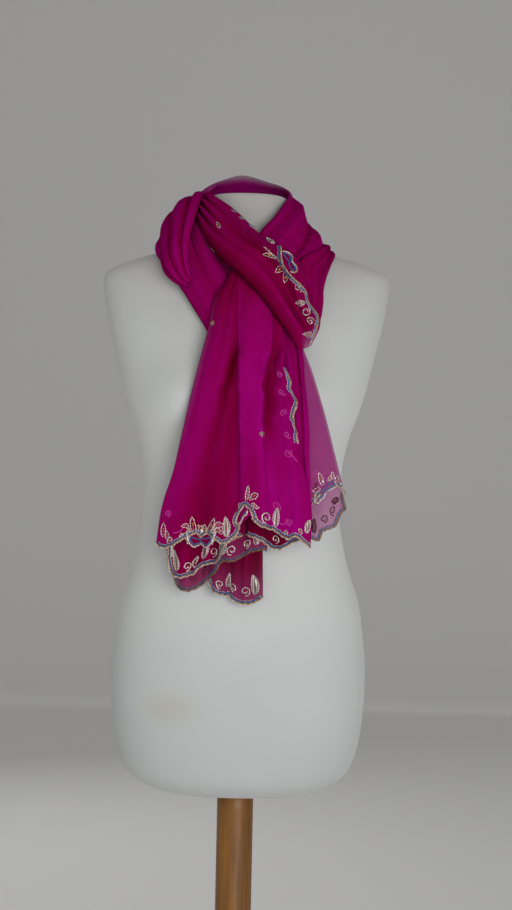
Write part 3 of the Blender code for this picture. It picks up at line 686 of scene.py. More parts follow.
# The pleat down the middle of the tail: its left and right edge across, at even steps down
PLEAT_LEFT = (
    0.28, 0.30, 0.359, 0.395, 0.410, 0.415, 0.421, 0.432, 0.445, 0.471, 0.479, 0.463, 0.475,
    0.468, 0.502, 0.500, 0.507, 0.504, 0.504, 0.508, 0.516, 0.523, 0.532, 0.541, 0.549)
PLEAT_RIGHT = (
    1.02, 1.00, 0.983, 0.952, 0.935, 0.925, 0.909, 0.894, 0.873, 0.856, 0.806, 0.733, 0.731,
    0.704, 0.735, 0.716, 0.715, 0.704, 0.696, 0.699, 0.703, 0.705, 0.711, 0.721, 0.730)
TAIL_FRONT_LAPS = (
    (PLEAT_LEFT, (1, 2, 2, 3, 4, 5, 5, 5, 5, 5, 4, 4, 4), 0.010),
    (PLEAT_RIGHT, (-1, -2, -3, -4, -5, -6, -6, -5, -4, -4, -4, -3, -3), 0.010),
)
PLEAT_INSIDE = ((PLEAT_LEFT, (1, 1), 0.009), (PLEAT_RIGHT, (-1, -1), 0.009))
TAIL_SECOND_FOLDS = (
    ((0.20, 0.22, 0.20), (1, 3, 6), 0.09),
    ((0.36, 0.36, 0.38), (-1, -2, -4), 0.05),
    ((0.50, 0.50, 0.54), (0, 1, 4), 0.05),
    ((0.66, 0.62, 0.66), (-1, -3, -6), 0.05),
    ((0.84, 0.82, 0.82), (1, 2, 4), 0.06),
)
TAIL_THIRD_FOLDS = (
    ((0.14, 0.15, 0.13), (1, 2, 5), 0.07),
    ((0.34, 0.34, 0.36), (-1, -3, -7), 0.06),
    ((0.56, 0.56, 0.60), (1, 2, 5), 0.07),
    ((0.72, 0.72, 0.76), (-1, -2, -4), 0.04),
    ((0.90, 0.90), (0, 1, 3), 0.04),
)
TAIL_LONG_FOLDS = (
    ((0.18, 0.20, 0.20), (1, 2, 5), 0.09),
    ((0.50, 0.48, 0.42), (-1, -2, -5), 0.06),
    ((0.66, 0.68, 0.70), (0, 1, 4), 0.06),
    ((0.86, 0.86, 0.88), (0, -1, -3), 0.05),
)
TAIL_TUCK_FOLDS = (
    ((0.30, 0.30, 0.32), (-1, -2, -4), 0.10),
    ((0.66, 0.66), (1, 2, 5), 0.10),
)
TAIL_SIDE_FOLDS = (
    ((0.70, 0.68, 0.70, 0.66, 0.56, 0.50, 0.44, 0.38, 0.33, 0.28, 0.24, 0.20, 0.17),
     (-2, -3, -4, -5, -5, -4, -3, -3, -3, -2, -2, -2, -2), 0.04),
    ((0.45, 0.45, 0.46, 0.44, 0.40, 0.36, 0.32, 0.28, 0.24, 0.20, 0.18, 0.16, 0.14),
     (2, 3, 4, 4, 4, 3, 3, 2, 2, 2, 2, 2, 2), 0.07),
    ((0.92, 0.90, 0.88, 0.84, 0.69, 0.60, 0.54, 0.49, 0.43, 0.36, 0.31, 0.28, 0.24),
     (2, 3, 3, 3, 3, 3, 3, 3, 2, 2, 2, 2, 2), 0.05),
)
TAIL_SIDE_TURN = (
    1.10, 1.06, 1.02, 0.92, 0.772, 0.676, 0.615, 0.563, 0.503, 0.424, 0.367, 0.331, 0.289)
TAIL_SIDE_LAPS = (
    (TAIL_SIDE_TURN, (0, 0, 0, -1, -2, -3, -3, -3, -3, -3, -3, -3, -3), 0.009),
)

# Sheer places, where a single layer lies on the form: place across, how sheer, softness
# (below zero for the side towards edge a)
TAIL_FRONT_SHEER = (
    ((0.02, 0.05, 0.04, 0.02, 0.02), (0, 0.15, 0.15, 0, 0), -0.015),
)
TAIL_SIDE_SHEER = (
    (TAIL_SIDE_TURN,
     (0.3, 0.3, 0.36, 0.42, 0.45, 0.45, 0.45, 0.45, 0.45, 0.45, 0.45, 0.45, 0.45), 0.008),
)
TAIL_SIDE_UNDER_SHEER = (((-1.0, -1.0), (0.45, 0.45, 0.45, 0.45, 0.5, 0.60, 0.72), 0.01),)
BAND_CROSS_SHEER = (
    ((0.30, 0.30), (0, 0, 0, 0, 0, 0, 0, 0, 0.8), 0.1),
)
COLLAR_SHEER = (
    ((0.05, 0.05, 0.05, 0.05, 0.06, 0.05, 0.05, 0.05, 0.05),
     (0, 0, 0, 0.45, 0.72, 0.45, 0, 0, 0), -0.03),
)
TAIL_LONG_SHEER = (((-1.0, -1.0), (0, 0, 0, 0, 0, 0, 0, 0, 0, 0, 0, 0.05, 0.26), 0.3),)
TAIL_THIRD_SHEER = (((-1.0, -1.0), (0, 0, 0, 0, 0, 0, 0, 0, 0, 0, 0.03, 0.10, 0.22), 0.3),)

# How deep the dye of each stretch is without its folds, evenly down its length: the gathered
# layers, and partly painted shade where the stretch lies in shadow
COLLAR_LAYERS_AND_SHADE = (0.45, 0.36, 0.32, 0.15, 0.0, 0.1, 0.26, 0.3, 0.3)
TAIL_FRONT_LAYERS_AND_SHADE = (0.6, 0.6, 0.45, 0.36, 0.32, 0.3, 0.28, 0.28, 0.28, 0.3, 0.32, 0.36, 0.36)
PLEAT_LAYERS_AND_SHADE = (0.5, 0.45, 0.33, 0.28, 0.22, 0.16, 0.13, 0.12, 0.14, 0.18, 0.22, 0.24, 0.24)
SHADE_RELIEF = 28.0             # mm of fold from the palest to the deepest dye, painted shade in the troughs
MEAN_PART = 7             # the cloth round a point is this part of the width, each way

# Edges: place along, how far edge b stands out there
TAIL_FRONT_EDGE = (
    (0.00, 0), (0.34, 0), (0.385, -4), (0.41, -4), (0.437, 0), (0.462, 3), (0.482, -0.5),
    (0.50, 1.5), (0.519, 5), (0.544, 5), (0.575, -2), (0.60, -4), (0.625, -1), (0.655, 0),
    (0.675, -4), (0.72, -1), (1.00, 0),
)
BAND_CROSS_EDGE = (
    (0.00, 0), (0.40, 0), (0.46, 3), (0.50, 7), (0.54, 11), (0.60, 10), (0.66, 5), (0.72, 2),
    (0.80, 1), (0.86, 4), (0.92, 5), (1.00, 0),
)

SCALLOP = 7.5             # mm between the points of the scalloped hems
SCALLOP_DEPTH = 1.1
# Hems: place across, rise of the edge there (below zero where it hangs lower)
TAIL_FRONT_HEM = (
    (0.000, -3), (0.021, -6), (0.043, -8), (0.079, -7), (0.115, -4), (0.159, 2), (0.195, 6),
    (0.210, -3), (0.237, -6), (0.278, -7), (0.290, -4), (0.310, -7), (0.337, -5), (0.363, -2),
    (0.376, 5), (0.390, 4), (0.418, -1), (0.458, 1), (0.485, 5), (0.520, 11), (0.542, 18),
    (0.551, 24), (0.563, 27), (0.582, 28), (0.595, 34), (0.604, 34), (0.618, 32), (0.664, 23),
    (0.709, 20), (0.764, 17), (0.801, 12), (0.837, 8), (0.865, 7), (0.900, 11), (0.937, 6),
    (0.965, 1), (1.000, -4),
)
TAIL_SECOND_HEM = (
    (0.000, 19), (0.030, 8), (0.049, 0), (0.065, -9), (0.092, -13), (0.131, -15), (0.195, -17),
    (0.275, -15), (0.324, -13), (0.365, -13), (0.413, -7), (0.453, -3), (0.489, -1),
    (0.543, 1), (0.591, 2), (0.651, 3), (0.687, 6), (0.712, 10), (0.730, 17), (0.754, 24),
    (0.805, 28), (0.881, 33), (1.000, 38),
)
TAIL_THIRD_HEM = (
    (0.000, 2), (0.020, -8), (0.032, -12), (0.054, -18), (0.097, -20), (0.151, -22),
    (0.205, -20), (0.258, -18), (0.321, -12), (0.363, -8), (0.394, -3), (0.426, 0),
    (0.460, 3), (0.482, 10), (0.509, 15), (0.540, 17), (0.605, 16), (0.675, 18), (0.721, 22),
    (0.785, 26), (0.827, 29), (0.883, 30), (0.934, 32), (1.000, 31),
)
TAIL_LONG_HEM = (
    (0.000, 14), (0.056, 8), (0.083, 3), (0.146, -5), (0.215, -9), (0.284, -10), (0.370, -11),
    (0.431, -10), (0.456, -14), (0.491, -17), (0.577, -20), (0.673, -21), (0.765, -21),
    (0.864, -19), (0.918, -16), (0.952, -16), (1.000, -12),
)
TAIL_TUCK_HEM = (
    (0.000, 4), (0.193, -1), (0.329, -6), (0.377, -9), (0.431, -12), (0.482, -13),
    (0.599, -13), (0.658, -10), (0.731, -6), (0.831, -3), (1.000, 0),
)
TAIL_SIDE_HEM = (
    (0.000, 26), (0.30, 30), (0.42, 38), (0.55, 42), (0.62, 45), (0.70, 47), (0.80, 43),
    (0.90, 36), (1.000, 24),
)
TAIL_SIDE_UNDER_HEM = (
    (0.000, 4), (0.128, -5), (0.311, -12), (0.401, -16), (0.502, -20), (0.525, -14),
    (0.552, -9), (0.648, -8), (0.740, -8), (0.801, -7), (0.846, -4), (0.860, 0), (0.871, 4),
    (0.912, 7), (0.950, 9), (1.000, 11),
)


RIPPLES = ((4.3, 0.22), (7.7, 0.12), (12.1, 0.06))     # waves across a stretch, mm of height


def frame_vectors(edge_a, edge_b):
    """Unit vectors out of the sheet: square to both its directions and away from the neck."""
    centre = (edge_a + edge_b) / 2
    out = unit(np.cross(edge_b - edge_a, np.gradient(centre, axis=0)))
    facing = np.sum(out[:, :2] * centre[:, :2], axis=1, keepdims=True)
    return out * np.where(facing < 0, -1.0, 1.0)


def summed(rows, share, along, form):
    """Sum of rows of places, heights and a width. `form` gives the height at a distance past
    the place, counted in widths."""
    total = np.zeros((len(along), len(share)))
    for places, heights, width in rows:
        place, height = through(places, along)[:, None], through(heights, along)[:, None]
        total += height * form((share[None, :] - place) / width)
    return total


def steps(rows, share, along):
    """Sum of soft steps, as at the edges of pleats."""
    return summed(rows, share, along, lambda past: 0.5 * (1 + np.tanh(past)))


def bells(rows, share, along):
    """Sum of bell-shaped ridges and troughs that run along the stretch."""
    return summed(rows, share, along, lambda past: np.exp(-past ** 2))


def ripples(share, along, seed):
    """Slight unevenness of thin cloth: a few long waves whose phases drift along the stretch."""
    total = np.zeros((len(along), len(share)))
    for turn, (count, height) in enumerate(RIPPLES):
        drift = 1.7 * np.sin(2.1 * (turn + 1) * along + seed + turn)[:, None]
        total += height * np.sin(2 * math.pi * count * share[None, :] + drift + 2.4 * seed)
    return total * np.minimum(1.0, 8 * along)[:, None]


def smoothed(line):
    """The line with its inner points drawn twice towards the mean of their neighbours."""
    for _ in range(2):
        line[1:-1] = (line[:-2] + 2 * line[1:-1] + line[2:]) / 4
    return line


def layers_and_fold_shade(height, layers, relief):
    """How deep a point lies in its folds: `relief` mm below the mean height of the cloth round it
    is one, above it is shallow. `layers` is how deep the whole stretch is, down its length."""
    # the part from the folds is painted shade in the troughs and paler painted light on the ridges
    reach = height.shape[1] // MEAN_PART
    window = 2 * reach + 1
    wide = np.pad(height, [(0, 0), (reach, reach)], mode="edge").cumsum(axis=1)
    mean = (wide[:, window - 1:] - np.pad(wide, [(0, 0), (1, 0)])[:, :-window]) / window
    return layers[:, None] - (height - mean) / relief


def sheet_points(piece, columns, rows):
    """Grid of points of one stretch, and how deep each of them lies in its folds.

    A point is edge a, plus its share of the way to edge b, plus a move out of the sheet: the
    section's swell, the folds, the laps and the tucks. The hem table then raises or lowers the
    last edge, and less and less of the sheet above it."""
    share, along = np.linspace(0.0, 1.0, columns + 1), np.linspace(0.0, 1.0, rows + 1)
    table = through(piece["sections"], along)
    edge_a, edge_b, swell = table[:, :3], table[:, 3:6], table[:, 6:7]
    if "edge" in piece:
        stands_out = np.interp(along, *zip(*piece["edge"]))[:, None]
        edge_b = edge_b + unit(edge_b - edge_a) * stands_out
    crowned = share ** (math.log(0.5) / math.log(piece.get("crown", 0.5)))
    height = swell * np.sqrt(np.maximum(0.0, 1 - (2 * crowned - 1) ** 2))[None, :]
    height += bells(piece["folds"], share, along)
    height += steps(piece.get("laps", ()), share, along)
    height += bells(piece.get("tucks", ()), along, share).T
    height += ripples(share, along, len(piece["sections"]) + piece["seed"])
    points = edge_a[:, None] + (edge_b - edge_a)[:, None] * share[None, :, None]
    points = points + frame_vectors(edge_a, edge_b)[:, None] * height[..., None]
    if "hem" in piece:
        rise = smoothed(np.interp(share, *zip(*piece["hem"])))
        scallops = np.abs(np.sin(math.pi * share * piece["flat"][0] / MM / SCALLOP))
        points[..., 2] += along[:, None] ** 3 * (rise - SCALLOP_DEPTH * scallops)[None, :]
    depth = layers_and_fold_shade(height, through(piece["depth"], along), piece.get("relief", SHADE_RELIEF))
    # painted shade rows: they darken the dye, and below zero paint it paler, as lit
    depth += bells(piece.get("painted_shades", ()), share, along)
    if "pleat" in piece:
        # the pleat in front has a depth of its own, from its left edge to its right edge, with its
        # own painted shade
        inside = np.clip(steps(PLEAT_INSIDE, share, along), 0.0, 1.0)
        own = through(piece["pleat"], along)[:, None] + bells(PLEAT_PAINTED_SHADE, share, along)
        depth += (own - depth) * inside
    return points, np.clip(depth, 0.0, 1.0)


# ---------------------------------------------------------------- laying one stretch on another
# Depth is measured from a post up the middle of the form that ends below the neck. Beside the
# post a level is a height, and above its end it is an elevation round that end.
POST_TOP = 1362.0
TURNS = 720
LEVEL_STEP = 1.0
ARC_PER_RADIAN = 110.0
LEVELS_FROM = 640.0
LEVELS = int((POST_TOP - LEVELS_FROM + ARC_PER_RADIAN * math.pi / 2) / LEVEL_STEP) + 1
TURN_STEP = 0.9           # mm between two directions, on the form
AROUND = range(-2, 3)     # places of the map, each way, that a surface's clearance comes to
EASE = 5                  # grid places over which a piece's move is spread


def refined(points, times, closed=False):
    """The same surface with each face split `times` by `times`, still flat between its points."""
    if closed:
        points = np.concatenate([points, points[:, :1]], axis=1)
    for axis, column in enumerate(((-1, 1, 1), (1, -1, 1))):
        last = points.shape[axis] - 1
        place = np.linspace(0, last, last * times + 1)
        low = np.minimum(place.astype(int), last - 1)
        part = (place - low).reshape(column)
        points = np.take(points, low, axis) * (1 - part) + np.take(points, low + 1, axis) * part
    return points


def from_post(points):
    """The vector to each point from the nearest point of the post."""
    foot = np.zeros_like(points)
    foot[..., 2] = np.minimum(points[..., 2], POST_TOP)
    return points - foot


def cells(points):
    """Direction, level and distance from the post of each point."""
    arm = from_post(points)
    flat = np.hypot(arm[..., 0], arm[..., 1])
    turn = np.arctan2(arm[..., 1], arm[..., 0]) / (2 * math.pi) * TURNS
    level = np.minimum(points[..., 2], POST_TOP) - LEVELS_FROM
    level = (level + ARC_PER_RADIAN * np.arctan2(arm[..., 2], flat)) / LEVEL_STEP
    return (np.floor(turn).astype(int) % TURNS,
            np.clip(np.floor(level).astype(int), 0, LEVELS - 1),
            np.linalg.norm(arm, axis=-1))


def widened(field, reach):
    """Each place takes the greatest value within `reach` places, and then the mean over the
    same window, so the result is smooth and nowhere below the field."""
    for combine in (np.maximum, np.add):
        for axis in (0, 1):
            wide = np.pad(field, [(reach, reach) if i == axis else (0, 0) for i in (0, 1)],
                          mode="edge")
            size = field.shape[axis]
            parts = [np.take(wide, range(i, i + size), axis=axis) for i in range(2 * reach + 1)]
            field = parts[0]
            for part in parts[1:]:
                field = combine(field, part)
            if combine is np.add:
                field = field / (2 * reach + 1)
    return field


class Reach:
    """How far from the post the pieces laid so far come, in each direction and at each level."""

    def __init__(self):
        self.out = np.zeros((TURNS, LEVELS))

    def add(self, points, clearance):
        """Raises the map to a piece's surface, made thicker all round by the clearance."""
        turn, level, distance = cells(points)
        raised = np.zeros_like(self.out)
        np.maximum.at(raised, (turn, level), distance)
        for up in AROUND:
            for aside in AROUND:
                moved = np.roll(raised, (aside, up), axis=(0, 1))
                away = max(abs(up) - 1, 0) * LEVEL_STEP + max(abs(aside) - 1, 0) * TURN_STEP
                rest = math.sqrt(max(clearance ** 2 - away ** 2, 0.0))
                if rest > 0:
                    self.out = np.maximum(self.out, np.where(moved > 0, moved + rest, 0))

    def eased(self, points):
        """The piece moved away from the post just far enough to clear the map, smoothly."""
        turn, level, distance = cells(points)
        move = widened(np.maximum(0.0, self.out[turn, level] - distance), EASE)
        return points + unit(from_post(points)) * move[..., None]


# A crown is where across the swell is highest. A relief is mm of fold from the palest dye to the
# deepest, which paints shade into the troughs. A depth is the stretch's dye down its length, with
# painted shade where it lies in shadow. A size is how many faces there are across and along, and
# flat is metres laid flat.
PIECES = {
    "tail_long": {
        "sections": TAIL_LONG_SECTIONS, "folds": TAIL_LONG_FOLDS, "hem": TAIL_LONG_HEM,
        "depth": (1.0, 1.0, 0.95, 0.9, 0.8), "sheer": TAIL_LONG_SHEER,
        "seed": 0.3, "size": (70, 110), "flat": (0.075, 0.32)},
    "tail_third": {
        "sections": TAIL_THIRD_SECTIONS, "folds": TAIL_THIRD_FOLDS, "hem": TAIL_THIRD_HEM,
        "depth": (0.9, 0.85, 0.75), "sheer": TAIL_THIRD_SHEER,
        "seed": 1.1, "size": (100, 110), "flat": (0.11, 0.30)},
    "tail_tuck": {
        "sections": TAIL_TUCK_SECTIONS, "folds": TAIL_TUCK_FOLDS, "hem": TAIL_TUCK_HEM,
        "depth": (0.8, 0.8), "seed": 2.2, "size": (60, 90), "flat": (0.06, 0.25)},
    "strand_left": {
        "sections": STRAND_LEFT_SECTIONS, "folds": STRAND_LEFT_FOLDS,
        "depth": (0.42, 0.36, 0.36), "seed": 0.7, "size": (80, 90), "flat": (0.08, 0.16)},
    "tail_second": {
        "sections": TAIL_SECOND_SECTIONS, "folds": TAIL_SECOND_FOLDS, "hem": TAIL_SECOND_HEM,
        "depth": (0.7, 0.7, 0.6), "seed": 1.9, "size": (90, 110), "flat": (0.09, 0.29)},
    "tail_side_under": {
        "sections": TAIL_SIDE_SECTIONS, "folds": TAIL_SIDE_FOLDS, "hem": TAIL_SIDE_UNDER_HEM,
        "depth": (0.6, 0.5, 0.3), "sheer": TAIL_SIDE_UNDER_SHEER,
        "seed": 2.7, "size": (80, 110), "flat": (0.08, 0.30)},
    "tail_side": {
        "sections": TAIL_SIDE_SECTIONS, "folds": TAIL_SIDE_FOLDS, "laps": TAIL_SIDE_LAPS,
        "hem": TAIL_SIDE_HEM, "depth": (0.4, 0.3, 0.25, 0.25), "sheer": TAIL_SIDE_SHEER,
        "seed": 0.5, "size": (180, 110), "flat": (0.07, 0.26)},
    "tail_front": {
        "sections": TAIL_FRONT_SECTIONS, "folds": TAIL_FRONT_FOLDS, "laps": TAIL_FRONT_LAPS,
        "edge": TAIL_FRONT_EDGE, "hem": TAIL_FRONT_HEM, "depth": TAIL_FRONT_LAYERS_AND_SHADE,
        "relief": 80, "pleat": PLEAT_LAYERS_AND_SHADE, "painted_shades": TAIL_FRONT_PAINTED_SHADE,
        "sheer": TAIL_FRONT_SHEER, "seed": 1.4, "size": (280, 120), "flat": (0.17, 0.35)},
    "collar": {
        "sections": COLLAR_SECTIONS, "folds": COLLAR_FOLDS, "tucks": COLLAR_TUCKS,
        "depth": COLLAR_LAYERS_AND_SHADE, "painted_shades": COLLAR_PAINTED_SHADE, "sheer": COLLAR_SHEER,
        "seed": 0.9, "size": (90, 290), "flat": (0.12, 0.66)},
    "roll_right": {
        "sections": ROLL_RIGHT_SECTIONS, "folds": ROLL_RIGHT_FOLDS,
        "depth": (0.42, 0.4, 0.42), "seed": 1.6, "size": (50, 150), "flat": (0.04, 0.28)},
    "band_cross": {
        "sections": BAND_CROSS_SECTIONS, "folds": BAND_CROSS_FOLDS, "laps": BAND_CROSS_LAPS,
        "crown": 0.40, "edge": BAND_CROSS_EDGE, "depth": (0.4, 0.42, 0.47, 0.42),
        "painted_shades": BAND_CROSS_PAINTED_SHADE, "sheer": BAND_CROSS_SHEER,
        "seed": 2.1, "size": (110, 140), "flat": (0.09, 0.25)},
}
# From the inside out. The collar comes in two lengths: behind the neck, and the left roll.
LAYING_ORDER = ("tail_long", "tail_third", "tail_tuck", "strand_left", "tail_second",
                "tail_side_under", "tail_side", "tail_front", "collar_back", "roll_right",
                "band_cross", "collar_left")
# The solids that each stretch stands for: the one of its name, but for two stretches
REPLACES = {name: (name,) for name in PIECES}
REPLACES.update({"tail_side_under": ("tail_side",),
                 "collar": ("wrap_back", "drape_right", "roll_left")})
OPEN_ROWS = 14            # last rows behind the neck, which the pieces above do not clear


def lay_stretches():
    """Works out the grid of every stretch, each one clear of those below it."""
    cloth = bpy.context.scene.stole_cloth
    clearance = (cloth.wall + cloth.gap) / MM
    reach = Reach()
    # faces are split until no place of the map is missed between their points
    reach.add(refined(torso_points(), 2, closed=True), clearance - cloth.wall / MM / 2)
    for name in LAYING_ORDER:
        key = "collar" if name.startswith("collar") else name
        piece = PIECES[key]
        columns, rows = piece["size"]
        if name == "collar_back":
            split = int(rows * COLLAR_FROM_BACK)
            points, LAYERS_AND_SHADE[key] = sheet_points(piece, columns, rows)
            back = reach.eased(points)[:split]
            reach.add(refined(back[:-OPEN_ROWS], 3), clearance)
        elif name == "collar_left":
            LAID[key] = np.concatenate([back, reach.eased(points)[split:]])
        else:
            grid, LAYERS_AND_SHADE[key] = sheet_points(piece, columns, rows)
            LAID[key] = reach.eased(grid)
            reach.add(refined(LAID[key], 3), clearance)


def lengths(points):
    """Running length across each row and down each column, in metres, for the weave."""
    across = np.linalg.norm(np.diff(points, axis=1), axis=-1).cumsum(axis=1).mean(axis=0)
    down = np.linalg.norm(np.diff(points, axis=0), axis=-1).cumsum(axis=0).mean(axis=1)
    across, down = np.concatenate([[0], across]) * MM, np.concatenate([[0], down]) * MM
    return np.stack(np.broadcast_arrays(across[None, :], down[:, None]), axis=-1)


def grid_normals(points):
    """Unit vectors out of a laid grid, away from the post."""
    out = unit(np.cross(np.gradient(points, axis=1), np.gradient(points, axis=0)))
    facing = np.sum(out * unit(from_post(points)), axis=-1)
    return out if facing.mean() > 0 else -out


def add_stretch(name, finish):
    """One stretch as a thin shell: its laid grid, its weave's UV map and its sheer places."""
    piece, points = PIECES[name], LAID[name]
    rows, columns = points.shape[:2]
    faces = grid_faces(rows, columns, closed=False)
    normal = np.cross(np.gradient(points, axis=1), np.gradient(points, axis=0))
    if np.sum(normal * from_post(points), axis=-1).mean() < 0:
        faces = faces[:, ::-1]
    made = add_piece(name + "_chiffon", points.reshape(-1, 3), faces, finish,
                     lengths(points).reshape(-1, 2))
    share, along = np.linspace(0, 1, columns), np.linspace(0, 1, rows)
    sheer = np.clip(steps(piece.get("sheer", ()), share, along), 0.0, 1.0)
    for kind, field in (("sheer", sheer), ("depth", LAYERS_AND_SHADE[name] * (1 - sheer))):
        made.data.attributes.new(kind, "FLOAT", "POINT").data.foreach_set(
            "value", field.astype(np.float32).ravel())
    wall = made.modifiers.new("wall", "SOLIDIFY")
    wall.thickness = bpy.context.scene.stole_cloth.wall
    wall.offset = 0.0
    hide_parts(*REPLACES[name])
    return made


# ---------------------------------------------------------------- embroidery
CORD_STEP = 0.9           # mm between two rings of a cord
PICOT_STEP = 2.3          # mm between the small beads along an edge
STITCH_STEP = 1.9         # mm between the satin stitches of a leaf
NEARBY = 6                # grid places each way over which the cloth is measured at a motif
PETAL_POINTS = 14         # points up each side of a petal
BEAD_RINGS, BEAD_SIDES = 5, 6
# Threads: mm off the cloth, radius, sides, and the share by which they are beaded
LEAF_EDGE = (0.5, 0.5, 5, 0.2)
PETAL_EDGE = (0.6, 0.56, 5, 0.2)
PETAL_VEIN = (0.4, 0.35, 5)
LOOP_EDGE = (1.0, 1.25, 6, 0.25)
RING_EDGE = (0.7, 0.7)
CURL_BELOW = (0.15, 0.55, 5)
LINE_BELOW = (0.0, 0.6, 5)
LINE_BEHIND = (0.0, 1.1, 6, 0.4)
THIN_CORD = (0.0, 0.4, 5, 0.3)
# Beads: mm off the cloth, radius, and their height as a share of it
CURL_BEAD = (1.6, 1.1)
LOOP_BEAD = (2.0, 0.7)
PICOT = (0.0, 0.9)
FLOWER_SEQUIN = (1.0, 2.3, 0.35)
# Spirals at size 1: half turns, radius outside, how much it narrows, points
SPIRAL = (2.0, 5.4, 4.0, 48)
SPIRAL_BELOW = (2.6, 5.6, 4.6, 50)
SPIRAL_RISE = 5.6         # mm from the border to the middle of a spiral
# Shares of a leaf's or a petal's length
LEAF_WIDTH, LEAF_BEND, PETAL_WIDTH, PETAL_BEAD = 0.37, 0.14, 0.36, 0.07
PETAL_VEIN_AT = (0.12, 0.26, 0.42, 0.60)
STITCHES_FROM, STITCHES_TO, STITCH_SLANT, STITCH_LAST = 0.05, 0.84, 0.13, 0.97
# Insets from the edge, in mm, to a cord or from one thread to the next
CORD_INSET, YARN_INSET, PICOT_INSET, THIN_CORD_INSET = 0.4, 0.6, -0.9, 1.2

# Motif outlines, in mm: x along the border and y into the cloth
LOOPS = ((-16, 1), (-18, -4), (-15, -10), (-8, -11.5), (-2, -9), (0, -8), (2, -9),
         (8, -12), (15, -10.5), (18, -4), (16, 1))
LOOPS_INSIDE = ((-13, -2), (-13.8, -5.5), (-10, -8.4), (-4, -7.4), (0, -6.0), (4, -7.4),
                (10, -8.8), (13.8, -5.5), (13, -2), (8, -1.0), (3, -2.0), (0, -3.0),
                (-3, -2.0), (-8, -1.0), (-13, -2))
# Petals of a flower: base x and y, tilt in degrees, length, width
FANS = ((-14.0, 1.5, 62, 13, 5.0), (-9.5, 3.0, 14, 20, 7.0), (-4.0, 3.0, -14, 13, 4.6),
        (4.5, 3.0, 8, 13, 4.6), (8.0, 3.0, -20, 19, 6.8), (12.0, 2.0, -54, 19, 6.0),
        (15.0, -0.5, -78, 13, 4.6))
SIDE_FAN = ((-7.0, 1.0, 58, 12, 4.8), (-1.0, 3.0, 4, 19, 6.6), (7.0, 2.0, -44, 12, 4.8))

# The edges that carry the border, travelled with the cloth on the left: places (across, along)
BORDERS = {
    "tail_front": (
        ((0.004, 1.0), (0.208, 1.0)),
        ((0.19, 0.995), (0.215, 0.968), (0.25, 0.952), (0.286, 0.966), (0.32, 0.952),
         (0.35, 0.968), (0.372, 0.998)),
        ((0.362, 1.0), (0.52, 1.0), (0.535, 0.985), (0.52, 0.965), (0.505, 0.945), (0.515, 0.925),
         (0.545, 0.92), (0.575, 0.935), (0.60, 0.965), (0.63, 0.995)),
        ((0.625, 1.0), (0.996, 1.0)),
        ((0.989, 0.655), (0.992, 0.633), (1.005, 0.608), (1.0, 0.583), (0.993, 0.575),
         (0.984, 0.55), (0.993, 0.533), (0.998, 0.517), (1.0, 0.492), (0.989, 0.472),
         (0.993, 0.442), (1.0, 0.408)),
    ),
    "tail_second": (((0.004, 0.86), (0.006, 0.95), (0.03, 0.995)), ((0.02, 1.0), (0.99, 1.0))),
    "tail_third": (((0.004, 1.0), (0.996, 1.0)),),
    "tail_long": (((0.004, 1.0), (0.996, 1.0)),),
    "tail_tuck": (((0.004, 1.0), (0.996, 1.0)),),
    "tail_side": (((0.30, 1.0), (0.46, 1.0)), ((0.76, 1.0), (0.996, 1.0)),),
    "tail_side_under": (((0.20, 1.0), (0.996, 1.0)), ((0.996, 0.995), (0.995, 0.90))),
    "band_cross": (
        ((0.62, 0.985), (0.66, 0.955), (0.70, 0.925), (0.79, 0.88), (0.90, 0.835), (0.92, 0.80),
         (0.87, 0.76), (0.86, 0.735), (0.89, 0.70), (0.80, 0.655), (0.70, 0.63), (0.635, 0.60),
         (0.625, 0.575), (0.64, 0.55), (0.69, 0.529), (0.80, 0.505), (0.89, 0.484)),
        ((0.985, 0.345), (0.955, 0.325)), ((0.93, 0.30), (0.915, 0.285)),
        ((0.925, 0.262), (0.935, 0.245)),
    ),
}
# Stretches folded with their back outwards
OTHER_SIDE = ("tail_third", "tail_side_under", "strand_left")
# Lines of thread that show dimly through the cloth from its other side
UNDER_LINES = {
    "tail_front": (
        ((0.70, 0.955), (0.76, 0.965), (0.82, 0.955), (0.84, 0.93)),
        ((0.10, 0.955), (0.14, 0.965), (0.18, 0.955)),
        ((0.96, 0.72), (0.93, 0.70), (0.95, 0.68)),
    ),
    "tail_side": (((0.30, 0.93), (0.38, 0.95), (0.46, 0.94)),),
    "strand_left": (((0.975, 0.50), (0.93, 0.44), (0.90, 0.37), (0.85, 0.30), (0.80, 0.24)),),
}
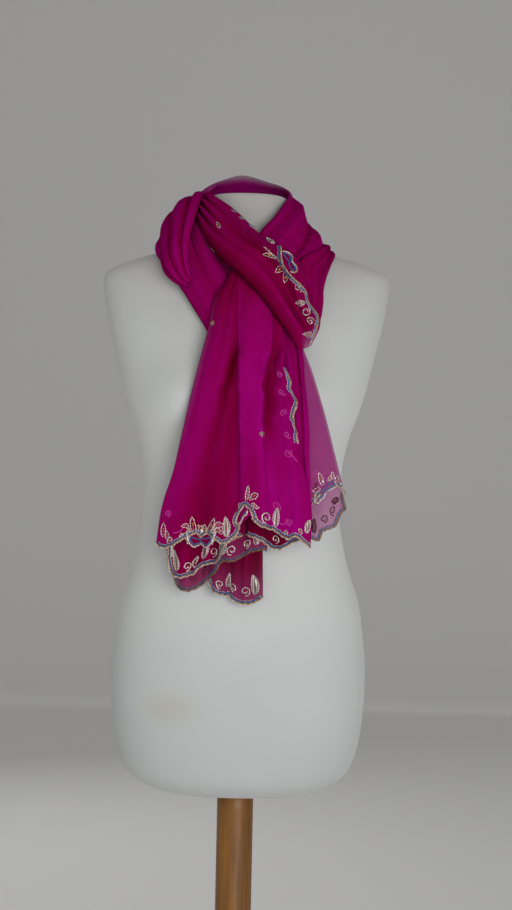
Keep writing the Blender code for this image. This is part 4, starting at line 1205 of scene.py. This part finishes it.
# The motifs on each stretch: kind, across, along, angle in degrees, size, then 1 or -1 for the
# way it curls. An angle of 0 points up the stretch, and 90 points towards edge a.
MOTIFS = {
    "tail_front": (
        ("flower", 0.286, 0.968, 0, 1.0, 1),
        ("sequin", 0.262, 0.930, 0, 2.2, 1), ("sequin", 0.312, 0.945, 0, 2.2, 1),
        ("petal", 0.040, 0.968, 6, 18, 1), ("petal", 0.075, 0.975, 22, 13, -1),
        ("curl", 0.085, 0.990, -10, 0.75, -1), ("curl", 0.160, 0.992, 8, 0.6, 1),
        ("leaf", 0.452, 0.985, 2, 27, -1), ("under_curl", 0.40, 0.965, 8, 0.9, 1),
        ("petal", 0.535, 0.915, 30, 12, 1), ("petal", 0.570, 0.912, -4, 18, 1),
        ("petal", 0.592, 0.925, -42, 16, 1), ("petal", 0.605, 0.945, -74, 10, 1),
        ("loops", 0.560, 0.965, 20, 0.45, 1),
        ("curl", 0.708, 0.985, 4, 1.35, -1), ("leaf", 0.770, 0.985, 6, 24, 1),
        ("curl", 0.640, 0.995, -20, 0.55, 1), ("curl", 0.842, 0.992, 0, 0.6, -1),
        ("under_curl", 0.765, 0.925, 0, 1.15, 1), ("under_curl", 0.86, 0.955, 0, 0.8, -1),
        ("leaf", 0.965, 0.965, -8, 20, 1), ("curl", 0.925, 0.985, -6, 0.7, 1),
        ("ring", 0.695, 0.647, 0, 2.4, 1), ("ring", 0.064, 0.238, 0, 2.6, 1),
        ("under_curl", 0.955, 0.440, 80, 0.85, 1), ("under_curl", 0.945, 0.500, 80, 0.85, -1),
        ("under_curl", 0.940, 0.570, 80, 0.85, 1), ("under_curl", 0.945, 0.640, 80, 0.9, -1),
        ("under_curl", 0.930, 0.710, 60, 1.0, 1), ("under_curl", 0.05, 0.900, 10, 0.8, 1),
    ),
    "tail_second": (
        ("leaf", 0.150, 0.985, 12, 24, -1), ("curl", 0.262, 0.985, -6, 1.15, 1),
        ("curl", 0.395, 0.980, 8, 1.2, -1), ("leaf", 0.490, 0.980, -4, 24, 1),
        ("curl", 0.600, 0.980, -4, 1.15, 1), ("leaf", 0.700, 0.970, -4, 20, 1),
        ("petal", 0.06, 0.965, 8, 14, 1), ("curl", 0.80, 0.975, 0, 0.9, -1),
    ),
    "tail_third": (
        ("dull_curl", 0.085, 0.980, 10, 1.0, -1), ("dull_curl", 0.20, 0.980, 0, 1.0, 1),
        ("dull_curl", 0.33, 0.975, 0, 1.0, -1), ("dull_leaf", 0.42, 0.970, -8, 18, 1),
        ("curl", 0.62, 0.980, 4, 1.2, -1), ("leaf", 0.53, 0.980, 4, 22, 1),
        ("curl", 0.775, 0.980, 0, 1.1, 1), ("leaf", 0.885, 0.980, -2, 24, 1),
        ("curl", 0.96, 0.980, 0, 0.8, 1),
    ),
    "tail_long": (
        ("curl", 0.27, 0.985, 12, 1.05, -1), ("curl", 0.50, 0.980, 0, 1.05, -1),
        ("curl", 0.70, 0.980, 0, 1.1, 1), ("leaf", 0.885, 0.985, 2, 28, -1),
        ("leaf", 0.10, 0.970, 8, 20, 1), ("leaf", 0.39, 0.980, 0, 18, 1),
    ),
    "tail_tuck": (
        ("curl", 0.50, 0.980, 0, 1.0, 1), ("curl", 0.72, 0.980, 0, 1.0, -1),
        ("curl", 0.60, 0.86, 10, 1.2, -1), ("leaf", 0.82, 0.90, -20, 24, 1),
        ("petal", 0.70, 0.66, 30, 16, 1), ("curl", 0.82, 0.58, 60, 1.0, 1),
        ("petal", 0.80, 0.50, 80, 16, 1), ("curl", 0.86, 0.42, 70, 0.9, -1),
    ),
    "tail_side": (
        ("side_flower", 0.550, 0.975, 4, 0.85, 1), ("dull_curl", 0.42, 0.960, 10, 0.75, -1),
        ("ring", 0.370, 0.975, 0, 2.0, 1),
        ("petal", 0.80, 0.960, -30, 12, 1), ("petal", 0.74, 0.955, -10, 11, 1),
        ("curl", 0.90, 0.975, -10, 0.7, 1), ("under_curl", 0.44, 0.90, 0, 0.9, 1),
    ),
    "tail_side_under": (
        ("dull_curl", 0.82, 0.955, 10, 1.1, -1), ("dull_curl", 0.62, 0.975, 0, 1.0, 1),
        ("dull_leaf", 0.42, 0.980, 0, 20, 1), ("dull_curl", 0.30, 0.980, 0, 0.9, 1),
        ("dull_leaf", 0.93, 0.930, 60, 15, 1),
    ),
    "band_cross": (
        ("loops", 0.720, 0.553, 80, 0.92, 1),
        ("petal", 0.580, 0.538, 58, 21, 1), ("petal", 0.620, 0.530, 17, 19, 1),
        ("petal", 0.590, 0.573, 103, 21, 1), ("petal", 0.585, 0.590, 134, 22, 1),
        ("sequin", 0.600, 0.562, 0, 1.8, 1), ("sequin", 0.745, 0.679, 0, 2.2, 1),
        ("curl", 0.770, 0.660, 92, 0.85, 1), ("leaf", 0.770, 0.742, 66, 18, -1),
        ("curl", 0.780, 0.765, 120, 1.15, -1), ("curl", 0.720, 0.850, 70, 1.1, 1),
        ("leaf", 0.610, 0.925, 72, 18, 1),
        ("loops", 0.880, 0.436, 60, 0.45, 1), ("petal", 0.860, 0.466, -12, 15, 1),
        ("petal", 0.355, 0.275, -12, 12, 1),
    ),
    "strand_left": (("ring", 0.20, 0.90, 0, 2.8, 1), ("petal", 0.91, 0.34, 20, 8, 1)),
    "collar": (
        ("petal", 0.10, 0.450, 0, 9, 1), ("ring", 0.60, 0.53, 0, 2.6, 1),
        ("petal", 0.55, 0.66, 0, 12, 1),
    ),
}


def on_cloth(name, places):
    """Points and outward normals of a laid stretch at places (across, along), read straight
    between its grid points and carried on a little past its edges."""
    points = LAID[name]
    last = np.array(points.shape[:2]) - 1
    at = places[:, ::-1] * last
    low = np.clip(np.floor(at).astype(int), 0, last - 1)
    (row, column), (down, across) = low.T, (at - low).T[..., None]

    def read(field):
        above, below = (field[line, column] * (1 - across) + field[line, column + 1] * across
                        for line in (row, row + 1))
        return above * (1 - down) + below * down

    return read(points), unit(read(grid_normals(points)))


def tilted(shape, degrees):
    """Flat points turned anticlockwise about the origin."""
    turn = math.radians(degrees)
    x, y = np.asarray(shape, float).T
    return np.stack([x * math.cos(turn) - y * math.sin(turn),
                     x * math.sin(turn) + y * math.cos(turn)], axis=-1)


def placed(name, anchor, shape):
    """A flat shape in mm laid on the cloth at an anchor (across, along, angle): turned, and then
    measured off along the stretch's own two directions. Gives its points and normals."""
    across, along, angle = anchor
    points = LAID[name]
    rows, columns = points.shape[:2]
    row, column = int(along * (rows - 1)), int(across * (columns - 1))
    left, right = max(column - NEARBY, 0), min(column + NEARBY, columns - 1)
    above, below = max(row - NEARBY, 0), min(row + NEARBY, rows - 1)
    width = np.linalg.norm(points[row, right] - points[row, left]) / (right - left) * (columns - 1)
    length = (np.linalg.norm(points[below, column] - points[above, column]) / (below - above)
              * (rows - 1))
    to_side, up = tilted(shape, angle).T
    return on_cloth(name, np.stack([across + to_side / width, along - up / length], axis=-1))


def drawn(path):
    """A smooth line through the points of a path, with a point at every step of a cord."""
    path = np.array(path, float)
    length = np.linalg.norm(np.diff(path, axis=0), axis=-1).sum()
    return through(path, np.linspace(0, 1, max(8, int(length / CORD_STEP))))


def run_of(line):
    """Length of a line up to each of its points."""
    return np.concatenate([[0], np.linalg.norm(np.diff(line, axis=0), axis=-1).cumsum()])


def picked(laid, start, step=1):
    """Every so many of the points and normals of a laid line."""
    return [field[start::step] for field in laid]


def cord_part(laid, lift, radius, sides=6, beaded=0.0):
    """Round cord: a circle carried along a laid line, `lift` mm off the cloth, and drawn in to a
    point at both ends. On a beaded one every second circle is narrower by the share `beaded`."""
    line, normal = laid
    centre = line + normal * lift
    tangent = unit(np.gradient(centre, axis=0))
    side = unit(np.cross(tangent, normal))
    up = np.cross(side, tangent)
    turn = np.linspace(-math.pi / 2, 1.5 * math.pi, sides, endpoint=False)[None, :, None]
    size = radius * np.where(np.arange(len(centre)) % 2 == 1, 1.0, 1.0 - beaded)
    size[[0, -1]] = 0.0
    ring = side[:, None] * np.cos(turn) + up[:, None] * np.sin(turn)
    points = centre[:, None] + ring * size[:, None, None]
    uv = np.stack(np.broadcast_arrays(run_of(centre)[:, None], turn[:, :, 0] * radius), axis=-1)
    faces = grid_faces(len(centre), sides, closed=True)[:, ::-1]
    return points.reshape(-1, 3), faces, uv.reshape(-1, 2) * MM


def copies(points, rings, sides):
    """Points, faces and UV map of small closed grids, one for each row of points."""
    one = grid_faces(rings, sides, closed=True)[:, ::-1]
    faces = (one[None] + rings * sides * np.arange(len(points))[:, None, None]).reshape(-1, 4)
    points = points.reshape(-1, 3)
    return points, faces, points[:, :2] * MM


def bead_part(laid, lift, radius, flat=1.0):
    """Beads: one small sphere carried to each laid point, `lift` mm off the cloth, and flattened
    along the normal there."""
    centres, normals = laid
    tilt = np.linspace(0, math.pi, BEAD_RINGS)[:, None]
    turn = np.linspace(0, 2 * math.pi, BEAD_SIDES, endpoint=False)[None, :]
    x, y, z = (field.reshape(1, -1, 1) for field in (
        np.sin(tilt) * np.cos(turn), np.sin(tilt) * np.sin(turn),
        np.cos(tilt) * np.ones_like(turn)))
    first = unit(np.cross(normals, np.array([0.1, 0.2, 1.0])))
    second = np.cross(normals, first)
    ball = first[:, None] * x + second[:, None] * y + normals[:, None] * z * flat
    return copies((centres + normals * lift)[:, None] + radius * ball, BEAD_RINGS, BEAD_SIDES)


def stitch_part(starts, ends, normals, radius):
    """Stitches: a four-sided spindle carried from each start to its end."""
    along = np.array([0.0, 0.2, 0.8, 1.0])[None, :, None, None]
    size = radius * np.array([0.0, 1.0, 1.0, 0.0])[None, :, None, None]
    turn = np.linspace(0, 2 * math.pi, 4, endpoint=False)[None, None, :, None]
    side = unit(np.cross(ends - starts, normals))[:, None, None]
    ring = side * np.cos(turn) + normals[:, None, None] * np.sin(turn)
    run = (ends - starts)[:, None, None] * along
    return copies(starts[:, None, None] + run + ring * size, 4, 4)


def almond(rise):
    """Share of a petal's width at a share of its length: pointed at both ends."""
    return np.sin(math.pi * rise ** 0.85) ** 0.8


def petal_outline(length, width, base=(0.0, 0.0), tilt=0.0):
    """Pointed almond, up one side and down the other, then tilted about its base."""
    rise = np.concatenate([np.linspace(0, 1, PETAL_POINTS), np.linspace(1, 0, PETAL_POINTS)[1:]])
    side = np.where(np.arange(len(rise)) < PETAL_POINTS, -1.0, 1.0)
    shape = np.stack([side * width / 2 * almond(rise), rise * length], axis=-1)
    return np.array(base) + tilted(shape, tilt)


def leaf_work(name, anchor, length, width, bend, metal):
    """Leaf of open satin stitch: slanting stitches from its vein to its cord outline."""
    outline = petal_outline(length, width)
    outline[:, 0] += bend * (outline[:, 1] / length) ** 2
    rise = np.tile(np.linspace(STITCHES_FROM, STITCHES_TO, int(length / STITCH_STEP)), 2)
    side = np.repeat([-1.0, 1.0], len(rise) // 2)
    tip = np.minimum(rise + STITCH_SLANT, STITCH_LAST)
    half = side * width / 2 * 0.9 * almond(tip)
    starts, normals = placed(name, anchor, np.stack([bend * rise ** 2, length * rise], axis=-1))
    ends, end_normals = placed(name, anchor,
                               np.stack([bend * tip ** 2 + half, length * tip], axis=-1))
    return [(metal, cord_part(placed(name, anchor, outline), *LEAF_EDGE)),
            (metal, stitch_part(starts + normals * 0.9, ends + end_normals * 0.4, normals, 0.55))]


def petal_work(name, anchor, length, width, base=(0.0, 0.0), tilt=0.0):
    """Outlined petal: a silvery cord round it, a thin gilt vein and a glass bead towards its
    tip."""
    outline = petal_outline(length, width, base, tilt)
    vein = np.array(base) + tilted([(0.0, length * share) for share in PETAL_VEIN_AT], tilt)
    return [("silver", cord_part(placed(name, anchor, outline), *PETAL_EDGE)),
            ("zari", cord_part(placed(name, anchor, drawn(vein)), *PETAL_VEIN)),
            ("amber", bead_part(placed(name, anchor, vein[-1:]), 0.7, PETAL_BEAD * length))]


def curl_work(name, anchor, size, way, metal):
    """Spiral of beaded cord that rises from the border and winds in to a bead. Below the cloth
    it is a plain thread that winds in further."""
    below = metal == "under"
    half_turns, outer, inwards, count = SPIRAL_BELOW if below else SPIRAL
    turn = np.linspace(-0.5 * math.pi, half_turns * math.pi, count)
    radius = (outer - inwards * np.linspace(0, 1, count)) * size
    laid = placed(name, anchor, np.stack(
        [way * radius * np.cos(turn), SPIRAL_RISE * size + radius * np.sin(turn)], axis=-1))
    if below:
        return [("under", cord_part(laid, *CURL_BELOW))]
    thick = 0.8 * size ** 0.5
    parts = [(metal, cord_part(laid, thick, thick, 6, 0.25))]
    if metal == "silver":
        parts.append(("zari", bead_part(picked(laid, -1), *CURL_BEAD)))
    return parts


def loops_work(name, anchor, size):
    """Two-lobed loop that hangs from the border: beaded cords outside, blue yarn inside."""
    outside, inside = (placed(name, anchor, drawn(np.array(path) * size))
                       for path in (LOOPS, LOOPS_INSIDE))
    return [("silver", cord_part(outside, *LOOP_EDGE)),
            ("zari", bead_part(picked(outside, 0, 3), *LOOP_BEAD)),
            ("yarn", cord_part(inside, 0.8, 0.72 * size ** 0.6))]


def motif_work(name, motif):
    """The parts of one motif, each with the name of its finish."""
    kind, across, along, angle, size, way = motif
    anchor = (across, along, angle)
    metal = {"dull": "behind", "under": "under"}.get(kind.split("_")[0], "silver")
    if kind == "petal":
        return petal_work(name, anchor, size, size * PETAL_WIDTH)
    if kind.endswith("curl"):
        return curl_work(name, anchor, size, way, metal)
    if kind.endswith("leaf"):
        return leaf_work(name, anchor, size, size * LEAF_WIDTH, way * size * LEAF_BEND, metal)
    if kind == "sequin":
        return [("zari", bead_part(placed(name, anchor, [[0.0, 0.0]]), 1.2, size, 0.3))]
    if kind == "ring":
        turn = np.linspace(0, 2 * math.pi, 20)
        ring = np.stack([np.cos(turn), np.sin(turn)], axis=-1) * size
        bead = placed(name, anchor, [[0.0, 0.0]])
        return [("zari", cord_part(placed(name, anchor, ring), *RING_EDGE)),
                ("silver", bead_part(bead, 0.8, size * 0.5, 0.6))]
    parts = loops_work(name, anchor, size)
    for x, y, tilt, length, width in {"flower": FANS, "side_flower": SIDE_FAN}.get(kind, ()):
        parts += petal_work(name, anchor, length * size, width * size, (x * size, y * size), tilt)
    if kind != "loops":
        sequin = placed(name, anchor, [[0.0, 8.0 * size]])
        parts.append(("silver", bead_part(sequin, *FLOWER_SEQUIN)))
    return parts


def border_line(name, path, inset, lift):
    """Line along the edge of a stretch, `inset` mm to the left of the path and `lift` mm out."""
    path = np.array(path, float)
    count = max(24, int(len(LAID[name][0]) * 3 * np.ptp(path, axis=0).max()))
    at = np.linspace(0, 1, count)
    places = through(path, at) if len(path) > 2 else path[0] + (path[1] - path[0]) * at[:, None]
    points, normals = on_cloth(name, places)
    left = unit(np.cross(normals, unit(np.gradient(points, axis=0))))
    line = smoothed(points + left * inset + normals * lift)
    run = run_of(line)
    even = np.linspace(0, run[-1], max(6, int(run[-1] / CORD_STEP)))
    even_line, even_normal = (
        np.stack([np.interp(even, run, column) for column in field.T], axis=-1)
        for field in (line, normals))
    return even_line, unit(even_normal)


def border_work(name, path):
    """The border of one edge: a metal cord and a row of picots outside, then blue yarn and a
    thin cord. Where a stretch shows its other side, the metal is duller and the yarn thinner."""
    work = bpy.context.scene.stole_embroidery
    cord, yarn = work.cord / MM / 2, work.yarn / MM / 2
    zari, silver, share = ("dull", "dull", 0.7) if name in OTHER_SIDE else ("zari", "silver", 1.0)
    edge = border_line(name, path, CORD_INSET, cord * 0.8)
    beside = border_line(name, path, YARN_INSET + cord + yarn, yarn * 0.8)
    outside = border_line(name, path, PICOT_INSET, 0.5)
    inside = border_line(name, path, THIN_CORD_INSET + cord + 2 * yarn, 0.4)
    every = max(1, int(PICOT_STEP / CORD_STEP))
    return [(zari, cord_part(edge, 0.0, cord, 6, 0.22)),
            ("yarn", cord_part(beside, 0.0, yarn * share)),
            (silver, bead_part(picked(outside, 0, every), *PICOT)),
            (silver, cord_part(inside, *THIN_CORD))]


def sew(name, finishes):
    """Adds the embroidery of one stretch, one piece for each finish on it."""
    parts = []
    for path in BORDERS.get(name, ()):
        parts += border_work(name, path)
    for motif in MOTIFS.get(name, ()):
        parts += motif_work(name, motif)
    kind, shape = ("behind", LINE_BEHIND) if name in OTHER_SIDE else ("under", LINE_BELOW)
    for path in UNDER_LINES.get(name, ()):
        parts.append((kind, cord_part(border_line(name, path, 0.0, 0.15), *shape)))
    made = []
    for kind, finish in finishes.items():
        own = [part for finish_name, part in parts if finish_name == kind]
        if own:
            points, faces, uv = zip(*own)
            starts = np.cumsum([0] + [len(part) for part in points])
            faces = [part + start for part, start in zip(faces, starts)]
            piece = add_piece(name + "_" + kind, np.concatenate(points), np.concatenate(faces),
                              finish, np.concatenate(uv))
            join_doubles(piece)
            made.append(piece)
    return made


# ---------------------------------------------------------------- operators
# The floor runs back and then curves up behind, as a paper sweep does: y and z in metres
SWEEP = ((-8.0, 0.0), (-4.0, 0.0), (3.6, 0.0), (4.8, 0.08), (5.6, 0.45), (6.1, 1.1), (6.3, 2.0),
         (6.3, 4.0), (6.3, 7.0))
SWEEP_ROWS = 97
SWEEP_SIDE = 9.0
# Lights: name, place, the point it faces, width in metres, watts
LIGHTS = (
    ("window_light", (0.9, -2.7, 1.1), (0.0, 0.0, 1.0), 2.0, 49.0),
    ("room_light", (-2.3, -1.5, 1.4), (0.0, 0.0, 1.1), 2.2, 9.0),
    ("back_light", (-0.9, 2.9, 2.1), (0.0, 0.0, 1.1), 2.2, 16.0),
)
SKY_COLOUR = (1.0, 0.99, 0.97, 1.0)
SKY_STRENGTH = 0.29
LENS = 59.9               # focal length in mm
CAMERA_X = 0.0176


class STOLE_OT_form(bpy.types.Operator):
    """Make the jersey-covered form"""
    bl_idname = "stole.form"
    bl_label = "Dress Form"

    def execute(self, context):
        made = closed_piece("form_cover", torso_points(), jersey())
        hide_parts("form_torso")
        return {"FINISHED"}


class STOLE_OT_stand(bpy.types.Operator):
    """Make the wooden pole and its base"""
    bl_idname = "stole.stand"
    bl_label = "Stand"

    def execute(self, context):
        pole = closed_piece("pole_wood", turned(POLE_PROFILE, around=64, steps=6),
                            varnished_pine("varnished_pine_pole", grain=(90.0, 90.0, 6.0)))
        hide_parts("stand_pole")
        base = closed_piece("base_wood", turned(BASE_PROFILE, around=128, steps=4),
                            varnished_pine("varnished_pine_base", grain=(5.0, 60.0, 60.0)))
        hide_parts("stand_base")
        return {"FINISHED"}


class STOLE_OT_cloth(bpy.types.Operator):
    """Lay every stretch of the stole, from the inside out, and sew its embroidery on"""
    bl_idname = "stole.cloth"
    bl_label = "Stole"

    def execute(self, context):
        lay_stretches()
        cloth = chiffon()
        work = context.scene.stole_embroidery
        finishes = {
            "zari": metal_thread("gilt_zari", work.gold),
            "silver": metal_thread("silver_zari", work.silver),
            "yarn": rayon_yarn(),
            "amber": glass_bead(),
            "dull": metal_thread("zari_reverse", linear(REVERSE_TINT)),
            "behind": metal_thread("zari_behind_cloth", linear(BEHIND_TINT)),
            "under": thread_below(),
        }
        made = {name: add_stretch(name, cloth) for name in PIECES}
        for name, piece in made.items():
            sewn = sew(name, finishes)
        return {"FINISHED"}


class STOLE_OT_stage(bpy.types.Operator):
    """Make the floor, the soft light and the camera"""
    bl_idname = "stole.stage"
    bl_label = "Stage"

    def execute(self, context):
        scene = context.scene
        stage = scene.stole_stage
        line = through(SWEEP, np.linspace(0, 1, SWEEP_ROWS))
        across = np.array([-SWEEP_SIDE, 0.0, SWEEP_SIDE])
        points = np.stack(np.broadcast_arrays(
            across[None, :], line[:, :1], np.maximum(line[:, 1:], 0.0)), axis=-1)
        mesh = bpy.data.meshes.new("floor_sweep")
        mesh.from_pydata(points.reshape(-1, 3).tolist(), [],
                         grid_faces(SWEEP_ROWS, len(across), closed=False).tolist())
        mesh.shade_smooth()
        mesh.materials.append(new_material(
            "matt_paint", Base_Color=(*stage.floor_colour, 1.0), Roughness=0.9)[0])
        floor = bpy.data.objects.new("floor_sweep", mesh)
        scene.collection.objects.link(floor)

        # plain display of colour keeps the strong magenta dye from going grey
        scene.view_settings.view_transform = "Standard"
        world = bpy.data.worlds.new("soft_daylight")
        scene.world = world
        world.use_nodes = True
        sky = world.node_tree.nodes["Background"]
        sky.inputs["Color"].default_value = SKY_COLOUR
        sky.inputs["Strength"].default_value = SKY_STRENGTH
        for name, place, aim, size, watts in LIGHTS:
            lamp = bpy.data.lights.new(name, "AREA")
            lamp.shape = "DISK"
            lamp.size = size
            lamp.energy = watts
            light = bpy.data.objects.new(name, lamp)
            light.visible_camera = False
            scene.collection.objects.link(light)
            light.location = place
            back = np.array(place) - np.array(aim)
            light.rotation_euler = (math.atan2(math.hypot(back[0], back[1]), back[2]), 0.0,
                                    math.atan2(back[1], back[0]) + math.pi / 2)

        lens = bpy.data.cameras.new("camera")
        lens.lens = LENS
        camera = bpy.data.objects.new("camera", lens)
        scene.collection.objects.link(camera)
        camera.location = (CAMERA_X, -stage.distance, stage.eye)
        camera.rotation_euler = (math.pi / 2, stage.roll, 0.0)
        scene.camera = camera
        return {"FINISHED"}


class STOLE_PT_panel(bpy.types.Panel):
    """Sizes and colours of the stole, and a button for each step"""
    bl_idname = "STOLE_PT_panel"
    bl_label = "Dupatta Stole"
    bl_space_type = "VIEW_3D"
    bl_region_type = "UI"
    bl_category = "Stole"

    def draw(self, context):
        scene = context.scene
        for group in (scene.stole_cloth, scene.stole_embroidery, scene.stole_stand,
                      scene.stole_stage):
            box = self.layout.box()
            for setting in group.bl_rna.properties:
                if setting.identifier not in {"rna_type", "name"}:
                    box.prop(group, setting.identifier)
        for operator in OPERATORS:
            self.layout.operator(operator.bl_idname)


OPERATORS = (STOLE_OT_form, STOLE_OT_stand, STOLE_OT_cloth, STOLE_OT_stage)
GROUPS = {"stole_cloth": ClothSettings, "stole_embroidery": EmbroiderySettings,
          "stole_stand": StandSettings, "stole_stage": StageSettings}


def register():
    for group in GROUPS.values():
        bpy.utils.register_class(group)
    for name, group in GROUPS.items():
        setattr(bpy.types.Scene, name, bpy.props.PointerProperty(type=group))
    for operator in OPERATORS:
        bpy.utils.register_class(operator)
    bpy.utils.register_class(STOLE_PT_panel)


def unregister():
    bpy.utils.unregister_class(STOLE_PT_panel)
    for operator in reversed(OPERATORS):
        bpy.utils.unregister_class(operator)
    for name, group in GROUPS.items():
        delattr(bpy.types.Scene, name)
        bpy.utils.unregister_class(group)


def main():
    register()
    bpy.ops.stole.form()
    bpy.ops.stole.stand()
    bpy.ops.stole.cloth()
    bpy.ops.stole.stage()


if __name__ == "__main__":
    main()
